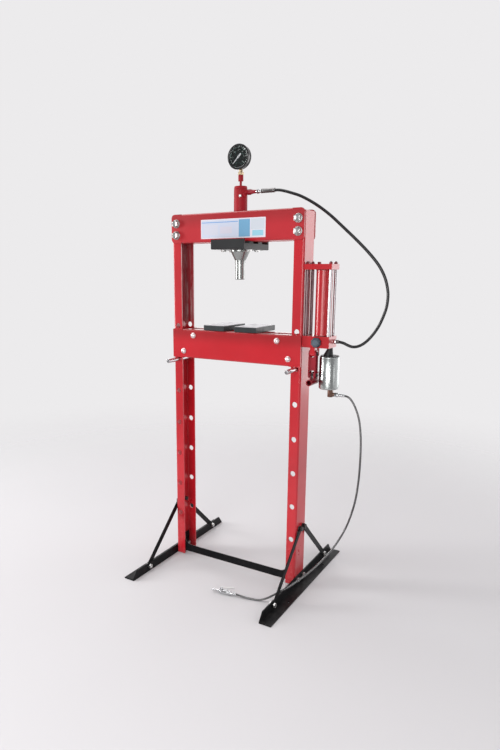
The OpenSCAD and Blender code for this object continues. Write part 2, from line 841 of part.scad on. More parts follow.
module table_pin_left() { table_pin(-1, pin_out_left); }
module table_pin_right() { table_pin(1, pin_out_right); }

// A ground plate with bevelled upper edges, turned by hand on the table
module arbor_plate(x, y, turn) {
  bevel = 1.5;
  color("#3a3d40") translate([x, y, table_top]) rotate(turn) intersection() {
    cube([plate_w, plate_l, plate_t]);
    translate([0, plate_l + 1, 0]) rotate([90, 0, 0]) linear_extrude(plate_l + 2) polygon([
      [0, 0], [plate_w, 0], [plate_w, plate_t - bevel], [plate_w - bevel, plate_t],
      [bevel, plate_t], [0, plate_t - bevel]]);
  }
}

module arbor_plate_left() { arbor_plate(-143, -50, -3); }
module arbor_plate_right() { arbor_plate(4, -52, -1); }

// ---- base ------------------------------------------------------------------

// An angle on edge against the post, its flat leg outwards, both ends bevelled
module foot() {
  nose = 27;
  reach = foot_front + foot_back;
  difference() {
    union() {
      plate_yz(half_w, foot_wall) polygon([
        [-foot_front, 0], [foot_back, 0], [foot_back, foot_wall],
        [foot_back - nose, foot_h], [nose - foot_front, foot_h], [-foot_front, foot_wall]]);
      translate([half_w, -foot_front, 0]) cube([foot_w, reach, foot_wall]);
    }
    for (y = [-foot_bolt_y, foot_bolt_y])
      translate([half_w - 1, y, foot_bolt_z]) along_x(foot_bolt_d + bolt_gap, foot_wall + 2);
    for (y = [-brace_y, brace_y])
      translate([half_w - 1, y, foot_bolt_z]) along_x(foot_bolt_d + bolt_gap, foot_wall + 2);
    for (y = [-anchor_span / 2, anchor_span / 2])
      translate([anchor_x, y, -1]) cylinder(d = anchor_d, h = foot_wall + 2);
  }
}

module right_foot() { color(BLACK) foot(); }
module left_foot() { color(BLACK) mirror([1, 0, 0]) foot(); }

// Four flat bars from the posts down to the feet
module braces() {
  color(BLACK) for (side = [0, 1], back = [0, 1])
    mirror([side, 0, 0]) mirror([0, back, 0])
      plate_yz(half_w + foot_wall, brace_t)
        strap_2d([-brace_top_y, brace_z], [-brace_y, foot_bolt_z], brace_w,
          foot_bolt_d + bolt_gap);
}

// Bolts of the feet and braces, their nuts inside, and the washers behind the braces
module foot_bolts() {
  tab = tie_t;
  color(ZINC) for (side = [0, 1], back = [0, 1]) mirror([side, 0, 0]) mirror([0, back, 0]) {
    translate([half_w + foot_wall, foot_bolt_y, foot_bolt_z]) rotate([0, -90, 0]) {
      hex_bolt(foot_bolt_d, foot_wall + post_wall + tab + foot_bolt_d);
      translate([0, 0, foot_wall + post_wall + tab]) hex_nut(foot_bolt_d);
    }
    translate([half_w + foot_wall + brace_t, brace_top_y, brace_z]) rotate([0, -90, 0]) {
      hex_bolt(foot_bolt_d, brace_t + foot_wall + post_wall + foot_bolt_d);
      translate([0, 0, brace_t]) washer(foot_bolt_d, brace_w, foot_wall);
      translate([0, 0, brace_t + foot_wall + post_wall]) hex_nut(foot_bolt_d);
    }
    translate([half_w + foot_wall + brace_t, brace_y, foot_bolt_z]) rotate([0, -90, 0]) {
      hex_bolt(foot_bolt_d, brace_t + foot_wall + foot_bolt_d);
      translate([0, 0, brace_t + foot_wall]) hex_nut(foot_bolt_d);
    }
  }
}

// A bar between the posts that widens in a curve to its end tabs
module tie_bar() {
  flare = tie_rise - tie_z - tie_h;
  tab_z = 8;
  corner_x = web_in - tie_t;
  corner_y = flange_in - tie_t;
  color(BLACK) difference() {
    union() {
      plate_xz(-flange_in, tie_t) {
        translate([-corner_x, tie_z]) square([2 * corner_x, tie_h]);
        for (side = [0, 1]) mirror([side, 0]) {
          translate([inner_half, tab_z]) square([corner_x - inner_half, tie_rise - tab_z]);
          difference() {
            translate([inner_half - flare, tie_z + tie_h - 1]) square([flare + 1, flare + 1]);
            translate([inner_half - flare, tie_rise]) circle(flare);
          }
        }
      }
      for (side = [0, 1]) mirror([side, 0, 0]) {
        translate([corner_x, -corner_y, tab_z]) cube([tie_t, 2 * corner_y, tie_rise - tab_z]);
        translate([corner_x, -corner_y, tab_z]) intersection() {
          cylinder(r = tie_t, h = tie_rise - tab_z);
          translate([0, -tie_t, 0]) cube([tie_t, tie_t, tie_rise - tab_z]);
        }
      }
    }
    for (side = [0, 1], y = [-foot_bolt_y, foot_bolt_y]) mirror([side, 0, 0])
      translate([web_in - tie_t - 1, y, foot_bolt_z])
        along_x(foot_bolt_d + bolt_gap, tie_t + 2);
  }
}

// ---- pump ------------------------------------------------------------------

module pump_bolt_holes(z) {
  for (y = pump_bolt_y)
    translate([pump_x0 - 1, y, z]) along_x(pump_bolt_d + thread_gap, 19);
}

// The block that carries the reservoir, the valves, the hand lever and the air motor
module pump_block() {
  lug_w = 2 * cheek_half;
  color(RED) difference() {
    union() {
      translate([pump_x0, block_front, pump_z]) cube([pump_w, pump_d, pump_block_h]);
      translate([lever_x - lug_w / 2, link_y - link_w / 2, link_high_z])
        cube([lug_w, link_w, pump_z - link_high_z + 1]);
      translate([lever_x - lug_w / 2, link_y, link_high_z]) along_x(link_w, lug_w);
    }
    translate([lever_x - lug_w, link_y, link_high_z])
      along_x(lever_pin_d + thread_gap, 2 * lug_w);
    for (x = rod_x, y = rod_y)
      translate([x, y, block_top - 12]) cylinder(d = 8 + thread_gap, h = 13);
    translate([reservoir_x, pump_y, block_top - 4]) cylinder(d = reservoir_d + thread_gap, h = 5);
    translate([knob_x, block_front - 1, knob_z]) along_y(10 + thread_gap, 25);
    translate([lever_x, pump_y, pump_z - 1]) cylinder(d = spigot_fit_d + thread_gap, h = 9);
    translate([lever_x, pump_y, pump_z - 1]) cylinder(d = plunger_d + 1, h = 36);
    translate([can_x, pump_y, pump_z - 1]) cylinder(d = 16 + thread_gap, h = 9);
    translate([can_x, pump_y, pump_z - 1]) cylinder(d = 9, h = 39);
    translate([oil_out[0] - 10, oil_out[1], oil_out[2]]) along_x(6, 12);
    pump_bolt_holes(knob_z);
  }
}

module oil_reservoir() {
  color(RED) translate([reservoir_x, pump_y, block_top - 4])
    ring(reservoir_d, reservoir_d - 6, reservoir_h + 8);
}

module pump_top_plate() {
  color(RED) difference() {
    translate([pump_x0, block_front, plate_z]) cube([pump_w, pump_d, pump_plate_t]);
    for (x = rod_x, y = rod_y)
      translate([x, y, plate_z - 1]) cylinder(d = 8 + thread_gap, h = pump_plate_t + 2);
    translate([reservoir_x, pump_y, plate_z - 1]) cylinder(d = reservoir_d + thread_gap, h = 5);
    pump_bolt_holes(plate_z + pump_plate_t / 2);
  }
}

// Rods with stepped ends that pull the plate down on the reservoir
module pump_tie_rods() {
  color(CHROME) for (x = rod_x, y = rod_y) translate([x, y, block_top]) {
    cylinder(d = tie_rod_d, h = reservoir_h);
    translate([0, 0, -11]) cylinder(d = 8, h = reservoir_h + pump_plate_t + 21);
  }
}

// Nuts of the tie rods, the filler plug, and the bolts that hold the pump to the post
module pump_bolts() {
  color(BLACK) {
    for (x = rod_x, y = rod_y)
      translate([x, y, plate_z + pump_plate_t]) hex_nut(8);
    translate([reservoir_x - 22, pump_y, plate_z + pump_plate_t]) hex_bar(12, 8);
    for (y = pump_bolt_y, z = [knob_z, plate_z + pump_plate_t / 2])
      translate([web_in, y, z]) rotate([0, 90, 0]) hex_bolt(pump_bolt_d, post_wall + 15);
  }
}

// Fluted release knob on its valve stem
module release_knob() {
  knob_t = 16;
  color("#3c4650") union() {
    translate([knob_x, block_front - 3, knob_z]) rotate([90, 0, 0]) difference() {
      rotate_extrude() polygon([
        [0, 0], [knob_d / 2 - 2, 0], [knob_d / 2, 2], [knob_d / 2, knob_t - 5],
        [knob_d / 2 - 5, knob_t], [0, knob_t]]);
      for (a = [0 : 45 : 315])
        rotate(a) translate([knob_d / 2 + 2, 0, -1]) cylinder(d = 8, h = knob_t + 2);
    }
    translate([knob_x, block_front - 4, knob_z]) along_y(10, 22);
  }
}

module plunger_barrel() {
  color(RED) difference() {
    union() {
      translate([lever_x, pump_y, pump_z - 34]) cylinder(d = barrel_od, h = 34);
      translate([lever_x, pump_y, pump_z - 1]) cylinder(d = spigot_fit_d, h = 8);
    }
    translate([lever_x, pump_y, pump_z - 35]) cylinder(d = plunger_d + 0.6, h = 50);
  }
}

// Plunger with a flat eye and the cross pin that the lever's slots work on
module pump_plunger() {
  eye_half = 5;
  eye_r = 9;
  neck = 15;
  color("#70747a") union() {
    translate([lever_x, pump_y, plunger_pin_z + neck]) cylinder(d = plunger_d, h = 112);
    translate([lever_x - eye_half, pump_y, plunger_pin_z]) along_x(2 * eye_r, 2 * eye_half);
    translate([lever_x - eye_half, pump_y - eye_half, plunger_pin_z])
      cube([2 * eye_half, 2 * eye_half, neck + 1]);
    translate([lever_x - cheek_half, pump_y, plunger_pin_z])
      along_x(plunger_pin_d, 2 * cheek_half);
  }
}

// Two straps from the block's lug down to the lever's pivot, with a web between them
module lever_links() {
  web_z = link_low_z + 18;
  web_h = link_high_z - link_w / 2 - 2 - web_z;
  color(RED) union() {
    for (side = [-1, 1])
      plate_yz(lever_x + (side > 0 ? cheek_half + 0.5 : -cheek_half - 0.5 - link_t), link_t)
        strap_2d([link_y, link_high_z], [link_y, link_low_z], link_w, lever_pin_d + thread_gap);
    translate([lever_x - cheek_half - 1.5, link_y - 9, web_z])
      cube([2 * cheek_half + 3, 18, web_h]);
  }
}

module lever_pins() {
  half = cheek_half + 0.5 + link_t;
  color(ZINC) for (z = [link_high_z, link_low_z]) {
    translate([lever_x - half, link_y, z]) along_x(lever_pin_d, 2 * half);
    for (side = [-1, 1])
      translate([lever_x + (side > 0 ? half : -half - 3), link_y, z]) along_x(15, 3);
  }
}

// Socket for the pump bar below a fork that hinges on the links
slot_gap = 0.6;
module pump_lever() {
  boss = 20;
  arm = pump_y - link_y;
  color("#8e1018") difference() {
    union() {
      for (side = [-1, 1])
        plate_yz(lever_x + (side > 0 ? cheek_half - cheek_t : -cheek_half), cheek_t) {
          translate([link_y, link_low_z]) circle(d = boss);
          translate([link_y + arm + 3, link_low_z]) circle(d = boss);
          translate([link_y, link_low_z - boss / 2]) square([arm + 3, boss]);
          translate([link_y - 7, socket_z]) square([arm + 10, link_low_z - socket_z]);
        }
      translate([lever_x, socket_front, socket_z]) along_y(socket_od, pump_y - socket_front + 4);
    }
    translate([lever_x, socket_front - 1, socket_z]) along_y(socket_bore, pump_y - socket_front);
    translate([lever_x - cheek_half - 1, link_y, link_low_z])
      along_x(lever_pin_d + 0.2, 2 * cheek_half + 2);
    translate([lever_x - cheek_half - 1, 0, 0]) rotate([90, 0, 90])
      linear_extrude(2 * cheek_half + 2)
        translate([pump_y - plunger_pin_d / 2 - 0.6, plunger_pin_z - plunger_pin_d / 2 - slot_gap])
          square([plunger_pin_d + 3, plunger_pin_d + 2 * slot_gap]);
    translate([lever_x - cheek_half + cheek_t, link_y - boss, socket_z + socket_od / 2 - 2])
      cube([2 * (cheek_half - cheek_t), arm + 2 * boss, 40]);
  }
}

// ---- air motor -------------------------------------------------------------

// Leaning foot on the can's lid, bored for the air piston's rod
module motor_neck() {
  color(BLACK) difference() {
    union() {
      hull() {
        translate([can_x - 6, pump_y, can_top + gasket_t]) cylinder(d = neck_d + 14, h = 3);
        translate([can_x + 1, pump_y, pump_z - 6]) cylinder(d = neck_d - 4, h = 6);
      }
      translate([can_x, pump_y, pump_z - 1]) cylinder(d = 16, h = 8);
      translate([can_x, pump_y, can_top]) cylinder(d = can_d - 6, h = gasket_t);
    }
    translate([can_x, pump_y, can_top - 1]) cylinder(d = 9, h = 60);
  }
}

// Drawn can, closed below with a rounded shoulder
module air_motor_can() {
  shoulder = 12;
  color(CHROME) translate([can_x, pump_y, can_z]) difference() {
    rotate_extrude() difference() {
      union() {
        translate([0, shoulder]) square([can_d / 2, can_h - shoulder]);
        square([can_d / 2 - shoulder, can_h]);
        translate([can_d / 2 - shoulder, shoulder]) circle(shoulder);
      }
      translate([-can_d, -1]) square([can_d, can_h + 2]);
      translate([0, can_wall + shoulder]) square([can_d / 2 - can_wall, can_h - 2 * can_wall - shoulder]);
      translate([0, can_wall]) square([can_d / 2 - shoulder, can_h - 2 * can_wall]);
      translate([can_d / 2 - shoulder, can_wall + shoulder]) intersection() {
        circle(shoulder - can_wall);
        translate([0, -shoulder]) square(shoulder);
      }
      translate([0, can_h - can_wall - 1]) square([5, can_wall + 2]);
    }
    translate([inlet_x - can_x, 0, -1]) cylinder(d = 8, h = 4);
  }
}

// Piston of the air motor; its rod works up through the neck into the block
air_piston_z = can_z + 18;
air_piston_t = 12;
module air_piston() {
  color(ZINC) union() {
    translate([can_x, pump_y, air_piston_z])
      cylinder(d = can_d - 2 * can_wall - 1, h = air_piston_t);
    translate([can_x, pump_y, air_piston_z + 1]) cylinder(d = 8, h = pump_z - air_piston_z + 2);
  }
}

module air_piston_spring() {
  wire = 2.4;
  color("gray") translate([can_x, pump_y, 0])
    coil(14, wire, air_piston_z + air_piston_t + wire / 2 + 0.3,
      can_top - can_wall - wire / 2 - 0.3, 6, 12);
}

// Hex body under the can, with its side port to the right
module air_inlet() {
  color("#5a3a24") difference() {
    union() {
      translate([inlet_x, pump_y, inlet_z - 10]) hex_bar(19, can_z - inlet_z + 10);
      translate([inlet_x, pump_y, inlet_z]) along_x(15, elbow_x - inlet_x);
    }
    translate([inlet_x, pump_y, inlet_z]) cylinder(d = 6, h = 40);
    translate([inlet_x, pump_y, inlet_z]) along_x(6, 40);
  }
}

module air_hose() {
  color(RUBBER)
    tube(smooth(air_route, 42), air_hose_d, 10, [0, 1, 0.2],
      [1, 0, 0], [cos(valve_turn), sin(valve_turn), 0]);
}

// ---- hand valve on the air hose --------------------------------------------

// Places its children where the hose ends, their +X along the valve
module at_valve() {
  translate([air_route[len(air_route) - 1][0], air_route[len(air_route) - 1][1], valve_z])
    rotate(valve_turn) children();
}

valve_pin_x = 64;
valve_pin_z = 13.4;
module air_valve_body() {
  color(CHROME) at_valve() difference() {
    union() {
      along_x(13, 24);
      translate([22, 0, 0]) along_x(19, 50);
      for (side = [-1, 1])
        translate([valve_pin_x - 6, side > 0 ? 5 : -8, 0]) cube([12, 3, valve_pin_z + 4]);
      translate([38, 0, 0]) cylinder(d = 6, h = 13.6);
      translate([valve_pin_x, -8, valve_pin_z]) along_y(4, 16);
    }
    translate([70, 0, 0]) along_x(9, 5);
  }
}

// Thumb lever hinged at the front lugs, its tail over the hose end
module air_valve_lever() {
  color(BLACK) at_valve() difference() {
    union() {
      plate_xz(-4, 8) polygon([
        [valve_pin_x + 5, valve_pin_z - 3], [valve_pin_x + 5, valve_pin_z + 2],
        [valve_pin_x + 1, valve_pin_z + 4], [22, 25.5], [6, 26.5], [6, 24.2], [22, 23],
        [valve_pin_x - 7, valve_pin_z + 2], [valve_pin_x - 3.6, valve_pin_z - 3]]);
    }
    translate([valve_pin_x, -9, valve_pin_z]) along_y(4.2, 18);
  }
}

module air_nipple() {
  color(CHROME) at_valve() translate([72, 0, 0]) rotate([0, 90, 0]) rotate_extrude() polygon([
    [0, 0], [7, 0], [7, 8], [4.5, 9], [4.5, 22], [6, 24], [6, 28], [4, 34], [0, 34]]);
}

// ---- the press -------------------------------------------------------------

left_post();
right_post();
upper_beam_front();
upper_beam_rear();
beam_bolts();
head_saddle();
packing_bars();
saddle_bolts();
cylinder_tube();
cylinder_cap();
guide_bush();
ring_nut();
wiper_ring();
ram();
piston();
piston_seal();
return_spring();
gauge_adaptor();
gauge_neck();
gauge_case();
gauge_bezel();
gauge_dial();
gauge_needle();
gauge_lens();
port_fitting();
hose_ends();
oil_hose();
table_beam_front();
table_beam_rear();
table_spacers();
table_bolts();
table_pin_left();
table_pin_right();
arbor_plate_left();
arbor_plate_right();
left_foot();
right_foot();
braces();
foot_bolts();
tie_bar();
pump_block();
oil_reservoir();
pump_top_plate();
pump_tie_rods();
pump_bolts();
release_knob();
plunger_barrel();
pump_plunger();
lever_links();
lever_pins();
pump_lever();
motor_neck();
air_motor_can();
air_piston();
air_piston_spring();
air_inlet();
air_hose();
air_valve_body();
air_valve_lever();
air_nipple();
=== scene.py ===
"""Looks of a floor-standing shop press with a hand and air driven oil pump.

Metres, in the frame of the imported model: the origin is on the floor midway between the posts, +X to the
right, -Y towards the person who works at it, +Z up. Each finished piece keeps its place in its mesh.
"""

import json
import math

import bpy
import numpy as np
from mathutils import Vector
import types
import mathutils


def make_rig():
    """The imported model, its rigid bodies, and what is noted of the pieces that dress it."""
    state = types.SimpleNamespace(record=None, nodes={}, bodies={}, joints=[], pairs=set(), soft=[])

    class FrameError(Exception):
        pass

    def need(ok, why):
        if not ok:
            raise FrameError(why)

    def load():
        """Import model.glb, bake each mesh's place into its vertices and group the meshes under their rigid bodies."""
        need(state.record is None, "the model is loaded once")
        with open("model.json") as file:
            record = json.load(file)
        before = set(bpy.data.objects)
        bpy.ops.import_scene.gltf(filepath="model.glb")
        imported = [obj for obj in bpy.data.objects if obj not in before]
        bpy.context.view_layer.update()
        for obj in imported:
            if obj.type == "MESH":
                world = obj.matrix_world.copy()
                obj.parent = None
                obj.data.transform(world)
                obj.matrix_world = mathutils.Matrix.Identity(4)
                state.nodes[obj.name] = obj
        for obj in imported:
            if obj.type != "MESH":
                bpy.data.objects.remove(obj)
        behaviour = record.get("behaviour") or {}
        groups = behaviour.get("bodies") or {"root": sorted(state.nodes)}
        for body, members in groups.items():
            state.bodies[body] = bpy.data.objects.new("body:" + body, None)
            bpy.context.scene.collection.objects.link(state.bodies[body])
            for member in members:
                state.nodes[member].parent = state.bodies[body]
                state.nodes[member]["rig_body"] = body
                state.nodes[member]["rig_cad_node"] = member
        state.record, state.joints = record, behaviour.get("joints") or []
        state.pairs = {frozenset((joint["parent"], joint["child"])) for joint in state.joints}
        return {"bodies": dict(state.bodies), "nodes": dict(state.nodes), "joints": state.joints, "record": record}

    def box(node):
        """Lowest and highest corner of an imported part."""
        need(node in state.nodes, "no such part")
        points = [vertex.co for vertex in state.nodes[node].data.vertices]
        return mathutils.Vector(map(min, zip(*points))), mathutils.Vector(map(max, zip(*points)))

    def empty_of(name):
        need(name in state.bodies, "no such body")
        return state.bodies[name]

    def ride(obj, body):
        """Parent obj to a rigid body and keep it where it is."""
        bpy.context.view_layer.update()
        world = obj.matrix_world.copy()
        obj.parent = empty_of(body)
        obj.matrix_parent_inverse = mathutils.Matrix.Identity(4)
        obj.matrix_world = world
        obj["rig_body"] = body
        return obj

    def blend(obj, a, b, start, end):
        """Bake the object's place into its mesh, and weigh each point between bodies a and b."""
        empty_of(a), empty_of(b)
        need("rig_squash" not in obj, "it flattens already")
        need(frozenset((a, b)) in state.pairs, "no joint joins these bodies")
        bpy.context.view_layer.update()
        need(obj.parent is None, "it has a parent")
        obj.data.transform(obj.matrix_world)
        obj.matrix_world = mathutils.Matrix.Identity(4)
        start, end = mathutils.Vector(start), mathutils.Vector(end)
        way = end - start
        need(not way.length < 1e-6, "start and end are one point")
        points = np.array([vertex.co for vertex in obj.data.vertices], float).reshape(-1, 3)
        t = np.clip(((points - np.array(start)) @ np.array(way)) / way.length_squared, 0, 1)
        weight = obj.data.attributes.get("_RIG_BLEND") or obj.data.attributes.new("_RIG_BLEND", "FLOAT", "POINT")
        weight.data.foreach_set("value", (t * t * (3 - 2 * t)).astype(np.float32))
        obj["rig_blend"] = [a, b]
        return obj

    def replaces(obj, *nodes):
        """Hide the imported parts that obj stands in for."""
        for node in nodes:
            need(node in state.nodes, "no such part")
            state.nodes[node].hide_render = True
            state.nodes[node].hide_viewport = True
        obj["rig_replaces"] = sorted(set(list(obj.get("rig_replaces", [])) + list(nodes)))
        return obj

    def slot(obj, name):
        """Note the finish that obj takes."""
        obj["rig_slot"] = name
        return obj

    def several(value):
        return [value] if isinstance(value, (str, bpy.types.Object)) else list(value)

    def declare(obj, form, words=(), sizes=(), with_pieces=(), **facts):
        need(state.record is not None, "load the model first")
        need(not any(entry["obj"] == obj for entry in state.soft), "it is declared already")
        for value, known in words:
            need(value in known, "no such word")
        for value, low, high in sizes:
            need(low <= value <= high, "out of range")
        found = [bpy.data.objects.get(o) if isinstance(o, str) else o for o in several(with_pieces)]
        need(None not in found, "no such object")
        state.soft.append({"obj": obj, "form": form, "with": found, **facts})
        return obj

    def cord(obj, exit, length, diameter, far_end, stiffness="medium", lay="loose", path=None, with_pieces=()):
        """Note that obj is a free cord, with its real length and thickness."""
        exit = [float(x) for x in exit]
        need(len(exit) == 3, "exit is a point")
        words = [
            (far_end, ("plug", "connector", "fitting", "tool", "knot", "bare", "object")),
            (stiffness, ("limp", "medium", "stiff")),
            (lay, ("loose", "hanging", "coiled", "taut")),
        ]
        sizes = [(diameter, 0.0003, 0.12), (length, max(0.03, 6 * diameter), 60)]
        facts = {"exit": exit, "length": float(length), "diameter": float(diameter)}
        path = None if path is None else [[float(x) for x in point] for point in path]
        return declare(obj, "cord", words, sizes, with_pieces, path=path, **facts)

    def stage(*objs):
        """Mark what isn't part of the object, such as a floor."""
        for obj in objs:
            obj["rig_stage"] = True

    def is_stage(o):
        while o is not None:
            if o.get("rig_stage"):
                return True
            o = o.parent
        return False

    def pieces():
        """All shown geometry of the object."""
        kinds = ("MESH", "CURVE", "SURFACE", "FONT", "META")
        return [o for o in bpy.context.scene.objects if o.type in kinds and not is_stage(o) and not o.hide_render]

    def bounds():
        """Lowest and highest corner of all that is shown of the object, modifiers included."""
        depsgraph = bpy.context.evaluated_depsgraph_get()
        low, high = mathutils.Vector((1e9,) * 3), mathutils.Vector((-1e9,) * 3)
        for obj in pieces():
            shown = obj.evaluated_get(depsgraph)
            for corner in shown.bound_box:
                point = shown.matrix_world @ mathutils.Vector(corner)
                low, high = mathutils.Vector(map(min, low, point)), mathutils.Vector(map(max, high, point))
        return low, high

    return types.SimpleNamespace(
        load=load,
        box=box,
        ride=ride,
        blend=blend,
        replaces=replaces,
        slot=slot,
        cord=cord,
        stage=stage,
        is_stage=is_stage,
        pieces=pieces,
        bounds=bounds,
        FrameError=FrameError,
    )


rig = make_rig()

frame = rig.load()
cad_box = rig.bounds()
MM = 0.001
SIDES = (-1, 1)
X, Y, Z = (1, 0, 0), (0, 1, 0), (0, 0, 1)

# ---- camera ----------------------------------------------------------------

CAMERA_PLACE = (1.2105, -2.1394, 1.2758)
CAMERA_TURN = math.radians(31.578)
CAMERA_DOWN = math.radians(12.287)
CAMERA_LENS = 28.63
CAMERA_SHIFT = (0.0427, 0.0360)


def in_scene(name, data):
    """A new object around its data, put into the scene."""
    made = bpy.data.objects.new(name, data)
    bpy.context.scene.collection.objects.link(made)
    return made


def add_camera():
    """The view from the front and right of the press, a little above the table."""
    data = bpy.data.cameras.new("view")
    data.lens = CAMERA_LENS
    data.sensor_width = 36
    data.shift_x, data.shift_y = CAMERA_SHIFT
    data.clip_start, data.clip_end = 0.02, 60
    cam = in_scene("view", data)
    cam.location = CAMERA_PLACE
    cam.rotation_euler = (math.pi / 2 - CAMERA_DOWN, 0, CAMERA_TURN)
    bpy.context.scene.camera = cam


# ---- mesh building ---------------------------------------------------------
# Surfaces are drawn in millimetres and piece() turns them to metres. A surface is a pair (points, faces): an
# array of points and an array of index rows.


def grid(points, round_u=False, round_v=False):
    """The surface over points[u, v]; round_u or round_v joins the last row or column to the first."""
    nu, nv = points.shape[:2]
    u = np.arange(nu if round_u else nu - 1)[:, None]
    v = np.arange(nv if round_v else nv - 1)[None, :]
    un, vn = (u + 1) % nu, (v + 1) % nv
    quads = np.stack([u * nv + v, u * nv + vn, un * nv + vn, un * nv + v][::-1], -1)
    return points.reshape(-1, 3), quads.reshape(-1, 4)


def together(*surfaces):
    """Several surfaces as one."""
    points, faces, count = [], [], 0
    for p, f in surfaces:
        points.append(p)
        faces.append(f + count)
        count += len(p)
    return np.concatenate(points), np.concatenate(faces)


def axes(x, y, z, origin):
    """The 4 by 4 matrix that carries X, Y and Z to three directions and the origin to a point."""
    m = np.eye(4)
    m[:3] = np.column_stack([x, y, z, origin])
    return m


def frame_at(origin, along=Z):
    """The matrix whose Z runs along a direction and whose origin is a point; its X is level."""
    z = np.array(along, float) / np.linalg.norm(along)
    side = np.cross(Z, z)
    if np.linalg.norm(side) < 1e-6:
        side = np.cross(Y, z)
    x = side / np.linalg.norm(side)
    return axes(x, np.cross(z, x), z, origin)


def place(surface, matrix):
    """The surface carried to another place by a 4 by 4 matrix."""
    points, faces = surface
    return points @ matrix[:3, :3].T + matrix[:3, 3], faces


def at(surface, origin, along=Z):
    """The surface with its origin carried to a point and its Z turned along a direction."""
    return place(surface, frame_at(origin, along))


def at_each(surface, spots):
    """The surface at each of several (origin, direction) spots, as one surface."""
    return together(*[at(surface, *spot) for spot in spots])


def angles(sides):
    """Even angles once round, as a column."""
    return np.linspace(0, 2 * math.pi, sides, endpoint=False)[:, None]


def spun(r, z, a, closed=False):
    """Radii r and heights z carried round Z to the angles a; closed joins each row's last to its first."""
    return grid(np.stack([r * np.cos(a), r * np.sin(a), z + 0 * a], -1), True, closed)


def turned(profile, sides=48, closed=False):
    """A profile of (radius, height) points turned once about Z; it runs up the outside, and a radius of 0
    at both ends closes it."""
    return spun(*np.array(profile, float).T, angles(sides), closed)


def hollow(profile, sides=48):
    """A closed profile turned once about Z, as a tube or ring: up the outside and down the inside."""
    return turned(profile, sides, True)


def hexed(across, levels, sides=48):
    """A six-sided bar about Z, given as (reach, height) levels: at each level every point lies at the
    smaller of reach and the hexagon's own radius, half of across over the cosine of the angle from the
    nearest flat."""
    a = angles(sides)
    to_flat = (a + math.pi / 6) % (math.pi / 3) - math.pi / 6
    reach, height = np.array(levels, float).T
    return spun(np.minimum(across / 2 / np.cos(to_flat), reach), height, a)


def rounded(profile, radius, steps=4):
    """A profile with its inner corners replaced by arcs: each arc is the quadratic curve between the
    points that lie radius away from the corner on its two sides, or two fifths of a side where that is
    shorter."""
    p = np.array(profile, float)
    out = [p[:1]]
    t = np.linspace(0, 1, steps)[:, None]
    for a, b, c in zip(p[:-2], p[1:-1], p[2:]):
        back, on = a - b, c - b
        lb, lo = np.linalg.norm(back), np.linalg.norm(on)
        s = b + back / lb * min(radius, lb / 2.5)
        e = b + on / lo * min(radius, lo / 2.5)
        out.append((1 - t) ** 2 * s + 2 * t * (1 - t) * b + t**2 * e)
    return np.concatenate(out + [p[-1:]])


def carried(path, section, hint):
    """A section of (a, b) points, counter-clockwise, carried along a path and closed at both ends: a is
    measured square to the path and the hint, which is never parallel to the path, and b square to the
    path and a."""
    p, s = np.array(path, float), np.array(section, float)
    along = np.gradient(p, axis=0)
    along /= np.linalg.norm(along, axis=1)[:, None]
    side = np.cross(along, hint)
    side /= np.linalg.norm(side, axis=1)[:, None]
    other = np.cross(along, side)
    walls = p + s[:, 0, None, None] * side + s[:, 1, None, None] * other
    tips = [np.broadcast_to(e, (len(s), 1, 3)) for e in (p[0], p[-1])]
    return grid(np.concatenate([tips[0], walls, tips[1]], axis=1), True)


def round_bar(path, radius, hint, sides):
    """A round bar along a path: a circle of so many sides carried along it."""
    a = angles(sides)
    return carried(path, radius * np.hstack([np.cos(a), np.sin(a)]), hint)


def slab(outline, low, high, bevel=0.0):
    """A plate between two heights from an outline of (x, y) corners, counter-clockwise; its rim is drawn
    in by the bevel at both faces, each corner moving along the line that halves its angle."""
    p = np.array(outline, float)
    a, b = p - np.roll(p, 1, 0), np.roll(p, -1, 0) - p
    a, b = (v / np.linalg.norm(v, axis=1)[:, None] for v in (a, b))
    inward = np.stack([-a[:, 1] - b[:, 1], a[:, 0] + b[:, 0]], -1)
    inward /= 1 + np.sum(a * b, axis=1)[:, None]
    q = p + inward * bevel
    centre = np.broadcast_to(q.mean(0), q.shape)
    rings = [(centre, low), (q, low), (p, low + bevel), (p, high - bevel), (q, high), (centre, high)]
    rings = [np.column_stack([r, np.full(len(r), z)]) for r, z in rings]
    return grid(np.stack(rings, axis=1), True)


def box_section(wide, thick, r, steps=4):
    """A rectangle with round corners, as points counter-clockwise."""
    a = np.linspace(0, math.pi / 2, steps)
    corner = np.column_stack([np.cos(a), np.sin(a)]) * r
    x, y = wide / 2 - r, thick / 2 - r
    turns = [(1, 0, x, y), (0, 1, -x, y), (-1, 0, -x, -y), (0, -1, x, -y)]
    return np.concatenate([corner @ np.array([[c, s], [-s, c]]) + (dx, dy) for c, s, dx, dy in turns])


def tube_wall(outer, inner, low, high, bevel=0.5, sides=48):
    """A plain tube or ring between two heights, its four rims bevelled."""
    b = bevel
    return hollow([(inner + b, low), (outer - b, low), (outer, low + b), (outer, high - b), (outer - b, high),
                   (inner + b, high), (inner, high - b), (inner, low + b)], sides)


def smooth_route(points, steps):
    """Points along the smooth curve through the given ones: between each two the curve is the cubic whose
    slope at each is half the step from the point before to the point after."""
    p = np.array(points, float)
    t = np.linspace(0, len(p) - 1, steps + 1)
    i = np.minimum(t.astype(int), len(p) - 2)
    f = (t - i)[:, None]
    a, b, c, d = p[np.maximum(i - 1, 0)], p[i], p[i + 1], p[np.minimum(i + 2, len(p) - 1)]
    return 0.5 * (2 * b + (c - a) * f + (2 * a - 5 * b + 4 * c - d) * f**2 + (3 * b - a - 3 * c + d) * f**3)


SLOTS = {}


